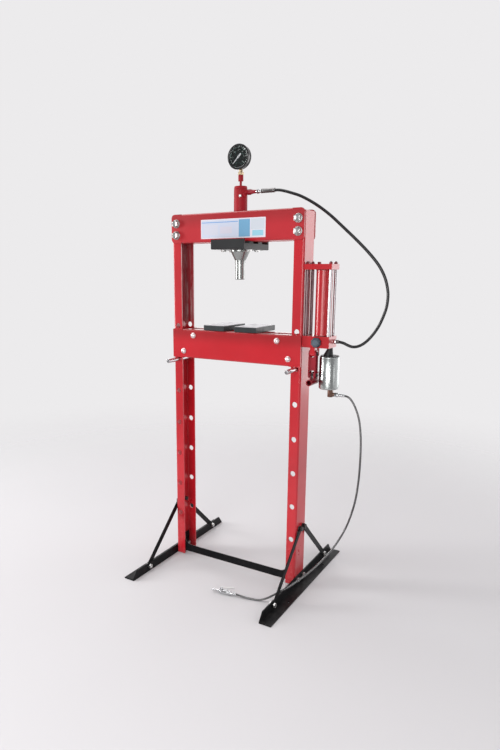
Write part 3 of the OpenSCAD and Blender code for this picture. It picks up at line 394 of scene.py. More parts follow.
def piece(name, surface, material, cad=(), body="frame", sharp=35, marks=None):
    """A finished piece: the surface as a mesh in metres that rides on a body and stands for the named CAD
    nodes. A piece that stretches names two bodies and the heights, in metres, where each one's hold on it
    ends. Points that coincide are merged, and edges sharper than the given angle stay sharp. marks holds
    arrays of vectors, one for each point of the surface, that the material reads by name."""
    points, faces = surface
    _, first, where = np.unique(np.round(points, 4), axis=0, return_index=True, return_inverse=True)
    polygons = []
    for f in where.reshape(-1)[faces].tolist():
        corners = [c for i, c in enumerate(f) if c != f[i - 1]]
        if len(corners) > 2:
            polygons.append(corners)
    mesh = bpy.data.meshes.new(name)
    mesh.from_pydata((points[first] * MM).tolist(), [], polygons)
    for key, values in (marks or {}).items():
        layer = mesh.attributes.new(key, "FLOAT_VECTOR", "POINT")
        layer.data.foreach_set("vector", np.ascontiguousarray(values[first], np.float32).ravel())
    mesh.polygons.foreach_set("use_smooth", np.ones(len(mesh.polygons), bool))
    mesh.set_sharp_from_angle(angle=math.radians(sharp))
    mesh.materials.append(material)
    obj = in_scene(name, mesh)
    if isinstance(body, str):
        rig.ride(obj, body)
    else:
        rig.blend(obj, *body[:2], *((0, 0, z) for z in body[2:]))
    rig.slot(obj, SLOTS[material])
    if cad:
        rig.replaces(obj, cad)
    return obj


def ends(node):
    """The lowest and highest corner of a CAD node's box, in millimetres."""
    return [np.array(corner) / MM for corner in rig.box(node)]


def middle(node):
    """The middle of a CAD node's box, in millimetres."""
    return sum(ends(node)) / 2


def heights(node):
    """The lowest and highest Z of a CAD node's box, in millimetres."""
    return [corner[2] for corner in ends(node)]


# ---- shader nodes ----------------------------------------------------------


class Nodes:
    """A node tree being built. A value handed in is a number, a tuple or another node's output socket."""

    def __init__(self, tree):
        self.tree = tree

    def feed(self, socket, value):
        """Links an input or sets its value; a colour is given as three numbers."""
        if isinstance(value, bpy.types.NodeSocket):
            self.tree.links.new(value, socket)
        else:
            socket.default_value = (*value, 1) if socket.type == "RGBA" else value

    def add(self, kind, inputs=None, **settings):
        """Adds a node. inputs feeds its sockets by name or number."""
        node = self.tree.nodes.new("ShaderNode" + kind)
        for key, value in settings.items():
            setattr(node, key, value)
        for key, value in (inputs or {}).items():
            self.feed(node.inputs[key], value)
        return node

    def use(self, shared, **inputs):
        """A shared group placed in this tree; gives its output sockets."""
        return self.add("Group", inputs, node_tree=shared).outputs

    def calc(self, operation, a, b=0.0, clamp=False):
        """The result of a sum, product or other operation on two values."""
        return self.add("Math", {0: a, 1: b}, operation=operation, use_clamp=clamp).outputs[0]

    def plus(self, a, b, clamp=False):
        """The sum of two values, held between 0 and 1 where clamp is set."""
        return self.calc("ADD", a, b, clamp)

    def minus(self, a, b):
        """The difference of two values."""
        return self.calc("SUBTRACT", a, b)

    def times(self, first, *others):
        """The product of all the values."""
        for other in others:
            first = self.calc("MULTIPLY", first, other)
        return first

    def vector(self, operation, *vectors):
        """The node of an operation on vectors."""
        return self.add("VectorMath", dict(enumerate(vectors)), operation=operation)

    def mixed(self, factor, a, b):
        """Colour a changed towards colour b by a factor."""
        return self.add("Mix", {0: factor, 6: a, 7: b}, data_type="RGBA").outputs[2]

    def spread(self, value, low, high, to_low=0.0, to_high=1.0):
        """A value carried smoothly from one range to another."""
        sockets = {0: value, 1: low, 2: high, 3: to_low, 4: to_high}
        return self.add("MapRange", sockets, interpolation_type="SMOOTHSTEP").outputs[0]

    def place(self):
        """The place on the piece, in metres."""
        return self.add("TexCoord").outputs["Object"]

    def here(self, stretch=(1, 1, 1)):
        """The place on the piece, stretched along the axes."""
        return self.add("Mapping", {"Vector": self.place(), "Scale": stretch}).outputs[0]

    def parts(self, vector):
        """The three numbers of a vector."""
        return self.add("SeparateXYZ", {0: vector}).outputs

    def facing(self):
        """The direction in which the surface looks."""
        return self.add("NewGeometry").outputs["Normal"]

    def noise(self, scale, detail=2.0, rough=0.5, at=None):
        """Cloudy noise from 0 to 1; scale is how many clouds there are in a metre."""
        sockets = {"Vector": at or self.here(), "Scale": scale, "Detail": detail, "Roughness": rough}
        return self.add("TexNoise", sockets).outputs[0]

    def patches(self, low, high, scale, detail=5.0, rough=0.6, at=None):
        """Soft patches: noise whose range from low to high is carried to 0 and 1."""
        return self.spread(self.noise(scale, detail, rough, at), low, high)

    def bumped(self, height, strength, depth=0.0002):
        """A normal tilted by a height, whose full range is depth in metres."""
        return self.add("Bump", {"Height": height, "Strength": strength, "Distance": depth}).outputs[0]


class Finish(Nodes):
    """A new material around one Principled shader, noted with the record's slot that it belongs to."""

    def __init__(self, name, slot=None):
        self.material = bpy.data.materials.new(name)
        self.material.use_nodes = True
        self.material.node_tree.nodes.clear()
        super().__init__(self.material.node_tree)
        self.shader = self.add("BsdfPrincipled")
        self.add("OutputMaterial", {"Surface": self.shader.outputs[0]})
        SLOTS[self.material] = slot

    def shade(self, **sockets):
        """Feeds inputs of the shader by name, with _ for a blank, and gives the material."""
        for key, value in sockets.items():
            self.feed(self.shader.inputs[key.replace("_", " ")], value)
        return self.material


def group(name, takes, gives):
    """A new node group and its inner ends. takes and gives list its sockets: name, kind, start value."""
    tree = bpy.data.node_groups.new(name, "ShaderNodeTree")
    for side, sockets in (("INPUT", takes), ("OUTPUT", gives)):
        for label, kind, *start in sockets:
            socket = tree.interface.new_socket(label, in_out=side, socket_type="NodeSocket" + kind)
            if start:
                socket.default_value = start[0]
    return Nodes(tree), tree.nodes.new("NodeGroupInput").outputs, tree.nodes.new("NodeGroupOutput").inputs


def cloudy_group():
    """Colour that drifts between two tones in large soft clouds, with a finer mottle over them."""
    n, takes, gives = group(
        "cloudy colour",
        [("Light", "Color"), ("Dark", "Color"), ("Scale", "Float", 6.0), ("Mottle", "Float", 0.15)],
        [("Colour", "Color"), ("Clouds", "Float")])
    fine = n.minus(n.times(n.noise(160.0, 3.0), takes["Mottle"]), n.times(takes["Mottle"], 0.5))
    factor = n.plus(n.patches(0.3, 0.7, takes["Scale"], 3.0, 0.5), fine, True)
    n.feed(gives["Colour"], n.mixed(factor, takes["Light"], takes["Dark"]))
    n.feed(gives["Clouds"], factor)
    return n.tree


def skin_group():
    """The skin of sprayed enamel: a fine orange-peel height, and a roughness that wanders a little."""
    n, takes, gives = group(
        "sprayed skin", [("Peel", "Float", 420.0), ("Gloss", "Float", 0.3), ("Wander", "Float", 0.1)],
        [("Height", "Float"), ("Roughness", "Float")])
    n.feed(gives["Height"], n.plus(n.noise(takes["Peel"], 1.0), n.times(n.noise(34.0, 2.0), 1.6)))
    drift = n.times(n.minus(n.noise(9.0, 4.0), 0.5), takes["Wander"])
    n.feed(gives["Roughness"], n.plus(takes["Gloss"], drift, True))
    return n.tree


def dust_group():
    """A mask of settled dust: on faces that look up, broken by clouds, and low down near the floor."""
    n, takes, gives = group(
        "settled dust", [("Amount", "Float", 0.3), ("Low", "Float", 0.15)], [("Mask", "Float")])
    top = n.times(n.spread(n.parts(n.facing())[2], 0.6, 1.0), n.patches(0.35, 0.75, 45.0, 5.0, 0.65))
    low = n.times(n.spread(n.parts(n.here())[2], 0.30, 0.0), n.patches(0.42, 0.8, 70.0, 5.0, 0.7))
    n.feed(gives["Mask"], n.plus(n.times(top, takes["Amount"]), n.times(low, takes["Low"]), True))
    return n.tree


def chips_group():
    """Small chips and rubs: a mask that is 1 where fine noise rises over a level inside sparse patches."""
    n, takes, gives = group(
        "chips and rubs", [("Scale", "Float", 150.0), ("Amount", "Float", 0.2)], [("Mask", "Float")])
    level = n.minus(0.74, n.times(takes["Amount"], 0.2))
    grains = n.calc("GREATER_THAN", n.noise(takes["Scale"], 5.0, 0.65), level)
    n.feed(gives["Mask"], n.times(n.patches(0.56, 0.72, 11.0, 3.0), grains))
    return n.tree


def marks_group():
    """Tool marks: lines across the stretched direction, as turning, grinding or drawing leaves them."""
    n, takes, gives = group(
        "tool marks", [("Stretch", "Vector", (1.0, 1.0, 1.0)), ("Scale", "Float", 900.0)],
        [("Height", "Float"), ("Value", "Float")])
    spot = n.vector("MULTIPLY", n.place(), takes["Stretch"]).outputs[0]
    fine = n.noise(takes["Scale"], 2.0, 0.6, spot)
    broad = n.noise(n.times(takes["Scale"], 0.13), 2.0, 0.5, spot)
    n.feed(gives["Height"], fine)
    n.feed(gives["Value"], n.plus(n.times(fine, 0.6), n.times(broad, 0.4)))
    return n.tree


CLOUDY, SKIN, DUST, CHIPS, MARKS = cloudy_group(), skin_group(), dust_group(), chips_group(), marks_group()

# ---- finishes --------------------------------------------------------------

WHITE_DUST = (0.62, 0.58, 0.54)
# Grime and painted shade for inner faces, and scuffs with painted highlights for their streaks
GRIME_AND_SHADE, SCUFF_AND_HIGHLIGHT = (0.15, 0.026, 0.036), (0.66, 0.55, 0.53)


def scuffed(n, tone, low, high):
    """A tone darkened by grime and painted shade, with upright streaks of scuffs and painted highlights,
    between two heights, on faces that look in to the middle: there the normal and the level part of
    the place point against each other."""
    z = n.parts(n.here())[2]
    outward = n.vector("DOT_PRODUCT", n.facing(), n.here((1, 1, 0))).outputs["Value"]
    reach = n.times(n.spread(z, low, low + 0.05), n.spread(z, high, high - 0.05))
    grimy_and_shaded = n.times(n.calc("LESS_THAN", outward, -0.02), reach)
    lines = n.patches(0.49, 0.66, 190.0, 3.0, 0.7, n.here((1, 1, 0.012)))
    broken = n.patches(0.35, 0.6, 60.0, 4.0, 0.7, n.here((1, 1, 0.25)))
    # Painted shade and grime: the inner faces turn darker.
    tone = n.mixed(n.times(grimy_and_shaded, 0.55), tone, GRIME_AND_SHADE)
    # Scuffs and painted highlights: pale upright streaks.
    return n.mixed(n.times(grimy_and_shaded, lines, broken, 0.8), tone, SCUFF_AND_HIGHLIGHT)


def enamel(name, slot, light, dark, gloss=0.3, coat=0.6, dust=0.25, low=0.3, chips=0.1,
           under=(0.05, 0.045, 0.045), shine=0.5, painted_shade_heights=None, rubbed_and_shaded=None):
    """Sprayed enamel: two close tones in clouds, orange peel, settled dust and a few chips down to the
    steel. Given shade heights, the tone turns deeper towards the top between them: painted shade. Given
    rub heights, the faces between them that look in to the middle are darkened by painted shade and grime,
    and streaked by scuffs and painted highlights, where the table has slid."""
    n = Finish(name, slot)
    shared = n.use(CLOUDY, Light=light, Dark=dark, Scale=5.0, Mottle=0.2)
    tone = shared["Colour"]
    # Painted shade: between the shade heights the tone turns deeper towards the top.
    if painted_shade_heights:
        thick = n.plus(n.spread(n.parts(n.here())[2], *painted_shade_heights), n.times(shared["Clouds"], 0.25), True)
        tone = n.mixed(thick, light, dark)
    # Painted shade and grime, and scuffs with painted highlights, on the inner faces between the rub heights.
    if rubbed_and_shaded:
        tone = scuffed(n, tone, *rubbed_and_shaded)
    skin = n.use(SKIN, Gloss=gloss, Wander=0.16)
    grey = n.use(DUST, Amount=dust, Low=low)["Mask"]
    chip = n.use(CHIPS, Scale=240.0, Amount=chips)["Mask"]
    height = n.minus(n.times(skin["Height"], 0.4), n.times(chip, 1.5))
    return n.shade(
        Base_Color=n.mixed(chip, n.mixed(grey, tone, WHITE_DUST), under),
        Roughness=n.plus(skin["Roughness"], n.times(grey, 0.5), True), Normal=n.bumped(height, 0.35, 0.0004),
        Specular_IOR_Level=shine, Coat_Weight=coat, Coat_Roughness=0.12)


def bare_metal(name, slot, light, dark, rough=0.22, stretch=(1, 1, 1), scale=900.0, bump=0.25, smear=0.12,
               metallic=1.0):
    """Worked metal: tool marks along one direction, and finger smears that dull the shine in clouds."""
    n = Finish(name, slot)
    marks = n.use(MARKS, Stretch=stretch, Scale=scale)
    return n.shade(
        Base_Color=n.mixed(marks["Value"], light, dark), Metallic=metallic,
        Roughness=n.plus(rough, n.times(n.patches(0.4, 0.75, 30.0), smear), True),
        Normal=n.bumped(marks["Height"], bump, 0.00006))


def plated(name, slot, light, dark, rough=0.28):
    """Zinc plate: faint crystal patches of two tones, a soft shine and patches of thin white bloom."""
    n = Finish(name, slot)
    cells = n.add("TexVoronoi", {"Vector": n.here(), "Scale": 420.0}).outputs["Color"]
    patch = n.add("SeparateColor", {0: cells}).outputs[0]
    bloom = n.patches(0.5, 0.8, 120.0, 5.0, 0.7)
    tone = n.mixed(n.times(patch, 0.6), light, dark)
    return n.shade(
        Base_Color=n.mixed(n.times(bloom, 0.3), tone, (0.75, 0.73, 0.70)), Metallic=0.95,
        Roughness=n.plus(rough, n.times(bloom, 0.25)), Normal=n.bumped(n.noise(700.0), 0.12, 0.0001))


def rubber(name, tone, wrap=0.0, gloss=0.34, skin=0.0):
    """Hose rubber: nearly black, with the crossed weave that a cloth wrap leaves in its skin. The piece's
    lay vectors hold the cosine and sine of the angle round the hose, and the distance along it in
    metres."""
    n = Finish(name, "black_rubber")
    x, y, along = n.parts(n.add("Attribute", attribute_name="lay").outputs["Vector"])
    angle = n.calc("ARCTAN2", y, x)
    waves = [n.calc("SINE", n.plus(n.times(angle, around), n.times(along, 1400.0))) for around in (8.0, -8.0)]
    weave = n.times(n.calc("MAXIMUM", *waves), wrap)
    scuff = n.patches(0.5, 0.8, 60.0, 5.0, 0.7)
    height = n.plus(weave, n.times(n.noise(800.0, 3.0, 0.6), 0.5))
    return n.shade(
        Base_Color=n.mixed(n.times(scuff, 0.35), tone, (0.09, 0.088, 0.085)), Normal=n.bumped(height, 0.3),
        Roughness=n.plus(gloss, n.times(scuff, 0.25)), Coat_Weight=skin, Coat_Roughness=0.1)


def moulded(name, slot, tone, dark, rough=0.42, shine=0.5):
    """Moulded plastic: an even tone with a fine spark-eroded grain."""
    n = Finish(name, slot)
    grain = n.noise(1400.0, 3.0, 0.6)
    return n.shade(
        Base_Color=n.use(CLOUDY, Light=tone, Dark=dark, Scale=24.0, Mottle=0.3)["Colour"],
        Roughness=n.plus(rough, n.times(grain, 0.1)), Specular_IOR_Level=shine,
        Normal=n.bumped(grain, 0.2, 0.0001))


def plate_steel():
    """A block plate: its upper face ground and lighter, the lightness partly a painted reflection of the
    bright backdrop; its sides left dark with mill scale.
    """
    n = Finish("plate steel", "ground_steel")
    marks = n.use(MARKS, Stretch=(1.0, 0.06, 1.0), Scale=900.0)
    # Painted reflection on the upper face, with its ground finish: faces that look up turn lighter and half metallic.
    ground = n.spread(n.parts(n.facing())[2], 0.45, 0.85)
    scale = n.use(CLOUDY, Light=(0.030, 0.036, 0.038), Dark=(0.015, 0.019, 0.021), Scale=30.0)["Colour"]
    bright = n.mixed(marks["Value"], (0.40, 0.39, 0.41), (0.29, 0.28, 0.30))
    return n.shade(
        Base_Color=n.mixed(ground, scale, bright), Metallic=n.times(ground, 0.65),
        Roughness=n.plus(0.36, n.times(n.patches(0.4, 0.75, 30.0), 0.14)), Specular_IOR_Level=0.4,
        Normal=n.bumped(marks["Height"], 0.25, 0.00006))


def lens_glass():
    """Flat gauge glass with a trace of haze."""
    n = Finish("lens glass", "lens_glass")
    haze = n.spread(n.noise(50.0, 4.0, 0.6), 0.45, 0.8, 0.015, 0.06)
    return n.shade(Base_Color=(0.96, 0.98, 0.98), Transmission_Weight=1.0, IOR=1.45, Roughness=haze)


def label_print(fields):
    """The printed label, as plain colour fields inside a white border. Each field is told apart by place:
    it lies between two values along X and two along Z, given in millimetres."""
    n = Finish("label print", "white_paint")
    x, _, z = n.parts(n.here())
    drift = n.noise(28.0, 3.0)
    colour = n.mixed(drift, (0.68, 0.65, 0.72), (0.73, 0.71, 0.77))
    for (x0, x1, z0, z1), tone in fields:
        inside = n.times(n.calc("GREATER_THAN", x, x0 * MM), n.calc("LESS_THAN", x, x1 * MM),
                         n.calc("GREATER_THAN", z, z0 * MM), n.calc("LESS_THAN", z, z1 * MM))
        colour = n.mixed(inside, colour, tone)
    return n.shade(
        Base_Color=colour, Roughness=n.plus(0.3, n.times(drift, 0.12)), Coat_Weight=0.4, Coat_Roughness=0.08,
        Normal=n.bumped(n.noise(55.0), 0.1, 0.0006))


def floor_paint(reach):
    """The studio floor: pale, matt and nearly even, and it fades into the backdrop with the distance."""
    n = Finish("studio floor")
    out = n.vector("LENGTH", n.here()).outputs["Value"]
    return n.shade(
        Base_Color=n.mixed(n.noise(0.8), (0.60, 0.59, 0.60), (0.57, 0.56, 0.57)), Roughness=0.8,
        Alpha=n.spread(out, 0.9, reach * 0.6, 1.0, 0.0))


# The posts' inner faces take painted shade and grime, and scuffs with painted highlights, between 1.04 and 1.43 m.
RED = enamel("red enamel", "red_enamel", (0.54, 0.012, 0.022), (0.45, 0.009, 0.017), 0.30, 0.3, low=0.12,
             rubbed_and_shaded=(1.04, 1.43))
# Painted shade: the table beams turn darker towards their top.
TABLE_RED = enamel("table red enamel", "red_enamel", (0.53, 0.010, 0.019), (0.34, 0.008, 0.013), 0.32, 0.2,
                   painted_shade_heights=(0.975, 1.036))
# Painted shade: the upper beams turn darker towards their top.
HEAD_RED = enamel("head red enamel", "red_enamel", (0.47, 0.013, 0.022), (0.35, 0.011, 0.017), 0.36, 0.15,
                  painted_shade_heights=(1.44, 1.50))
TUBE_RED = enamel("cylinder red enamel", "red_enamel", (0.36, 0.011, 0.020), (0.29, 0.009, 0.015), 0.5, 0.0,
                  shine=0.2)
PUMP_RED = enamel("pump red enamel", "red_enamel", (0.52, 0.008, 0.016), (0.42, 0.006, 0.012), 0.3, 0.35,
                  dust=0.1)
DARK_RED = enamel("dark red enamel", "dark_red_enamel", (0.31, 0.006, 0.018), (0.17, 0.004, 0.011), 0.34, 0.2)
BLACK = enamel("black paint", "black_paint", (0.0035, 0.0035, 0.0045), (0.007, 0.007, 0.008), 0.34, 0.0,
               shine=0.10, dust=0.02, low=0.02, chips=0.2, under=(0.05, 0.048, 0.046))
RIM_BLACK = enamel("glossy black enamel", "black_paint", (0.006, 0.007, 0.007), (0.010, 0.010, 0.011), 0.16,
                   0.9, dust=0.03, low=0.0)
CHARCOAL = enamel("charcoal paint", "black_paint", (0.024, 0.025, 0.026), (0.016, 0.017, 0.018), 0.44, 0.0,
                  shine=0.3, dust=0.08, low=0.0, chips=0.3, under=(0.14, 0.14, 0.14))
BLACKENED = enamel("blackened steel", "black_paint", (0.020, 0.018, 0.018), (0.045, 0.040, 0.038), 0.38, 0.0,
                   dust=0.1, low=0.0, chips=0.4, under=(0.20, 0.19, 0.18))
# Painted reflection: a pale zinc tinted pink, as the red paint around the table bolts shows in it.
PINK_SHEEN_ZINC = plated("bright zinc plate", "zinc", (0.86, 0.72, 0.72), (0.72, 0.58, 0.59), 0.36)
ZINC = plated("zinc plate", "zinc", (0.56, 0.55, 0.54), (0.42, 0.42, 0.42), 0.30)
ALONG_Z = (0.15, 0.15, 1.0)
DRAWN_Z = (1, 1, 0.05)
CHROME = bare_metal("bright chrome", "chrome", (0.70, 0.71, 0.72), (0.56, 0.57, 0.58), 0.14, ALONG_Z)
TURNED = bare_metal("turned steel", "ground_steel", (0.42, 0.43, 0.42), (0.29, 0.30, 0.29), 0.24, ALONG_Z,
                    bump=0.12, smear=0.05)
PIN_CHROME = bare_metal("drawn bar", "chrome", (0.62, 0.61, 0.62), (0.46, 0.45, 0.47), 0.22, (1.0, 0.12, 1.0))
GROUND = bare_metal("ground steel", "ground_steel", (0.60, 0.60, 0.61), (0.42, 0.42, 0.43), 0.3, (1, 0.06, 1))
SPRING = bare_metal("spring steel", "spring_steel", (0.35, 0.35, 0.37), (0.22, 0.22, 0.24), 0.35)
BRASS = bare_metal("brass", "brass", (0.50, 0.39, 0.25), (0.36, 0.27, 0.17), 0.36, (0.3, 0.3, 1))
BROWN = bare_metal("browned steel", "brown_steel", (0.20, 0.11, 0.08), (0.09, 0.05, 0.038), 0.36, bump=0.4,
                   metallic=0.6)
CAN = bare_metal("drawn aluminium", "can_aluminium", (0.56, 0.59, 0.58), (0.42, 0.45, 0.44), 0.27,
                 (1, 1, 0.04), scale=500.0, bump=0.08, smear=0.04)
CRIMP = bare_metal("crimped steel", "zinc", (0.24, 0.23, 0.23), (0.13, 0.125, 0.125), 0.3, metallic=0.9)
ROD_CHROME = bare_metal("rod chrome", "chrome", (0.60, 0.57, 0.58), (0.48, 0.46, 0.47), 0.34, DRAWN_Z,
                        bump=0.1, smear=0.05)
# Painted shade: a darker, duller copy of the rod chrome for the inner pair of tie rods, which stand in shade.
ROD_SHADED = bare_metal("shaded rod", "chrome", (0.27, 0.18, 0.19), (0.19, 0.125, 0.135), 0.42, DRAWN_Z,
                       bump=0.1)
KNOB = moulded("blue grey plastic", "blue_grey_plastic", (0.055, 0.075, 0.10), (0.035, 0.05, 0.07))
KNOB_CAP = moulded("knob cap", "blue_grey_plastic", (0.11, 0.14, 0.18), (0.08, 0.10, 0.13), 0.3)
DIAL = moulded("dial black", "dial_face", (0.003, 0.012, 0.010), (0.006, 0.017, 0.015), 0.6, 0.15)
DIAL_PRINT = moulded("dial print", "white_paint", (0.55, 0.60, 0.57), (0.48, 0.53, 0.50), 0.5)
NEEDLE_WHITE = moulded("needle white", "white_paint", (0.86, 0.84, 0.86), (0.80, 0.78, 0.80), 0.35)
SEAL_RUBBER = moulded("seal rubber", "black_rubber", (0.016, 0.016, 0.017), (0.010, 0.010, 0.011))
OIL_RUBBER = rubber("wrapped rubber", (0.010, 0.010, 0.011), 0.6, 0.26)
AIR_RUBBER = rubber("smooth rubber", (0.042, 0.041, 0.043), 0.05, 0.22, 1.0)
PLATE = plate_steel()
GLASS = lens_glass()
# From the left: a pale field with a thin blue rule near its top and two other blocks in it, a blue field,
# and a pale field above a cyan one
LABEL_PRINT = label_print([
    ((-148, 20, 1410, 1475), (0.56, 0.60, 0.72)), ((-148, 20, 1466, 1469), (0.16, 0.34, 0.66)),
    ((-138, -72, 1420, 1458), (0.60, 0.61, 0.70)), ((-62, -8, 1424, 1450), (0.61, 0.59, 0.68)),
    ((22, 72, 1410, 1475), (0.16, 0.36, 0.55)), ((76, 134, 1436, 1475), (0.58, 0.62, 0.68)),
    ((82, 130, 1412, 1433), (0.30, 0.58, 0.70))])

# ---- camera and hoses ------------------------------------------------------

OIL_ROUTE = [
    (150, 0, 1579.5), (166, 0, 1578.5), (184, 0, 1575), (210, 0, 1567.5), (257, 0, 1551), (315, 0, 1520),
    (372, 0, 1480), (429, 0, 1431), (485, 0, 1381), (529, 0, 1338), (563, 1, 1298), (586, 1, 1258),
    (598, 2, 1218), (601, 2, 1184), (596, 3, 1145), (579, 4, 1097), (564, 5, 1069), (546, 6, 1044),
    (527, 7, 1024), (509, 7, 1011.5), (492, 8, 1005), (476, 8, 1004), (460, 8, 1008.5), (443, 8, 1015.5),
    (425, 8, 1019),
]
AIR_ROUTE = [
    (462, -5.5, 818), (474, -5.5, 815), (487, -6, 806), (503, -8, 784), (518, -11, 753), (529, -16, 718),
    (538, -23, 663), (543, -32, 590), (544, -42, 510), (540, -54, 436), (529, -66, 373), (511, -80, 312),
    (480, -99, 245), (436, -125, 179), (391, -151, 127), (346, -176, 84), (325, -187, 66), (301, -198, 49),
    (276, -208, 30), (251, -218, 14), (226, -227, 5), (200, -234, 4.2), (172, -240, 5.2), (150, -243.5, 8),
    (132, -246, 9.8),
]
OIL_HOSE_D, AIR_HOSE_D = 11.0, 8.0
HOSE_STEPS, HOSE_SIDES = 240, 20
CRIMP_R = 8.5


def hose(name, route, diameter, hint, material, node):
    """A hose along a route, its lay marked on it; gives the piece, its centreline and length in metres."""
    line = smooth_route(route, HOSE_STEPS)
    step = np.linalg.norm(np.diff(line, axis=0), axis=1)
    a = angles(HOSE_SIDES)
    along = np.concatenate([[0, 0], np.cumsum(step), [step.sum()]])[None, :] * MM
    lay = np.stack([np.cos(a) + 0 * along, np.sin(a) + 0 * along, along + 0 * a], -1).reshape(-1, 3)
    made = piece(name, round_bar(line, diameter / 2, hint, HOSE_SIDES), material, node, marks={"lay": lay})
    return made, line * MM, float(step.sum()) * MM


def ferrule(name, origin, profile, material, flats, depth, cad=()):
    """A hose ferrule along X: a turned profile pressed in by a cosine of that many flats. The press reaches
    its depth over a quarter of the length from each end, and is measured at the crimp's radius."""
    points, faces = turned(rounded(profile, 1.2, 3), 64)
    reach = points[:, 2].max()
    inside = np.clip(np.minimum(points[:, 2], reach - points[:, 2]) / (0.25 * reach), 0, 1)
    dip = 0.5 + 0.5 * np.cos(np.arctan2(points[:, 1], points[:, 0]) * flats)
    press = 1 - depth / CRIMP_R * inside * dip
    points = points * np.column_stack([press, press, np.ones_like(press)])
    piece(name, at((points, faces), origin, X), material, cad)


add_camera()
oil_hose, oil_line, oil_length = hose("oil_hose_tube", OIL_ROUTE, OIL_HOSE_D, Y, OIL_RUBBER, "oil_hose")
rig.cord(oil_hose, exit=oil_line[0], length=oil_length, diameter=OIL_HOSE_D * MM, far_end="object",
        stiffness="stiff", lay="loose", path=oil_line)
air_hose, air_line, air_length = hose(
    "air_hose_tube", AIR_ROUTE, AIR_HOSE_D, (0, 1, 0.2), AIR_RUBBER, "air_hose")

# ---- bolts -----------------------------------------------------------------

GROOVE_SHARE, COARSE_PITCH = 0.35, 1.6


def thread(radius, low, high, pitch, point=1.0):
    """The profile of a threaded end from low up to high: a ridge each pitch, and a bevelled point at low.
    The grooves between the ridges are a share of the pitch deep, or of a coarse pitch where that is less."""
    turns = max(1, int((high - low - point) / pitch))
    z = low + point + np.arange(turns)[:, None] * pitch + np.array([0, 0.5])[None, :] * pitch
    r = radius - np.array([GROOVE_SHARE, 0.0]) * min(pitch, COARSE_PITCH) + 0 * z
    return [(0, low), (radius - point, low), *zip(r.ravel(), z.ravel()), (radius, high)]


def hex_head(across, height, low=0.0, top=0.94):
    """A bolt head that stands on low: hexagonal, with its upper corners turned off and a faint dish."""
    far, near, high = across / math.sqrt(3), across / 2, low + height
    return hexed(across, [(0, low), (near * 0.97, low), (near * 0.97, low + 0.4), (far, low + 0.4),
                          (far, high - (far - near * top) * 0.5), (near * top, high), (near * 0.72, high),
                          (near * 0.68, high - 0.3), (0, high - 0.3)])


def nut(d, low):
    """A hex nut that fills low to low + 0.8 d, its corners turned off at both faces."""
    across, high = 1.5 * d, low + 0.8 * d
    far, near = across / math.sqrt(3), across / 2
    cut = (far - near * 0.95) * 0.5
    return hexed(across, [(d / 2, low + 0.6), (d / 2 + 0.6, low), (near * 0.95, low), (far, low + cut),
                          (far, high - cut), (near * 0.95, high), (d / 2 + 0.6, high), (d / 2, high - 0.6)])


def washer(d, outer, thick, low):
    """A flat washer that fills low to low + thick."""
    return tube_wall(outer / 2, d / 2 + 0.3, low, low + thick, 0.35)


def bolt(d, length, nut_at=None, washers=()):
    """A hex bolt: its head rises from 0 along Z, and its threaded shank goes down by length. nut_at is
    how far down the near face of its nut lies, and washers are (outer diameter, thickness, height of the
    lower face)."""
    shank = thread(d / 2, -length, -0.3, 0.1 * d + 0.7, 0.08 * d) + [(0, -0.3)]
    parts = [hex_head(1.5 * d, 0.62 * d), turned(shank, 32)]
    if nut_at is not None:
        parts.append(nut(d, -nut_at - 0.8 * d))
    return together(*parts, *[washer(d, *w) for w in washers])


# ---- upper frame and head --------------------------------------------------

BEAM_FACE, BEAM_BOLT_X, BEAM_BOLT_Z = 53.0, 272.5, (1469.0, 1423.0)
BEAM_WASHER = 3
SADDLE_BOLT_X, SADDLE_BOLT_Y = 58, 33
piece("beam_bolt_set", at_each(
    bolt(18, 32, nut_at=14, washers=[(34, BEAM_WASHER, -BEAM_WASHER)]),
    [((sx * BEAM_BOLT_X, sy * (BEAM_FACE + BEAM_WASHER), z), (0, sy, 0))
     for sx in SIDES for sy in SIDES for z in BEAM_BOLT_Z]), ZINC, "beam_bolts")

saddle_low = heights("head_saddle")[0]
piece("saddle_bolt_set", at_each(
    bolt(12, heights("saddle_bolts")[1] - saddle_low, nut_at=36),
    [((sx * SADDLE_BOLT_X, sy * SADDLE_BOLT_Y, saddle_low), (0, 0, -1)) for sx in SIDES for sy in SIDES]),
    ZINC, "saddle_bolts")

tube_low, tube_high = heights("cylinder_tube")
shoulder = heights("packing_bars")[0]
cap_low, cap_high = heights("cylinder_cap")
piece("cylinder_barrel", hollow(rounded([
    (22, tube_low + 0.1), (24.4, tube_low), (25, tube_low + 1), (25, shoulder), (26.5, shoulder + 0.6),
    (26.5, tube_high - 1.6), (25.7, tube_high - 0.9), (25.7, tube_high), (22, tube_high)], 0.4, 3), 72),
    TUBE_RED, "cylinder_tube")
PORT = (0, 0, middle("port_fitting")[2])
boss = rounded([(0, 20), (11.6, 21.5), (11.2, 25.2), (10, 27.5), (10, 31.8), (9.3, 32.5), (0, 32.5)], 1.5)
piece("cylinder_port_boss", at(turned(boss, 40), PORT, X), TUBE_RED)
piece("cylinder_lid", turned(rounded([
    (0, cap_low), (21.6, cap_low), (21.6, tube_high + 0.1), (26.2, tube_high + 0.1), (26.4, tube_high + 1),
    (24.5, cap_high), (6, cap_high), (5.6, cap_high - 0.8), (0, cap_high - 0.8)], 1.2), 72),
    TUBE_RED, "cylinder_cap")
tube_r = (ends("cylinder_tube")[1][0] - ends("cylinder_tube")[0][0]) / 2


def on_tube(surface, azimuth, z, out=0.0):
    """The surface set on the cylinder's skin at an azimuth and a height, its Z pointing outwards."""
    a = math.radians(azimuth)
    outward = np.array([math.cos(a), math.sin(a), 0])
    return at(surface, outward * (tube_r + out) + (0, 0, z), outward)


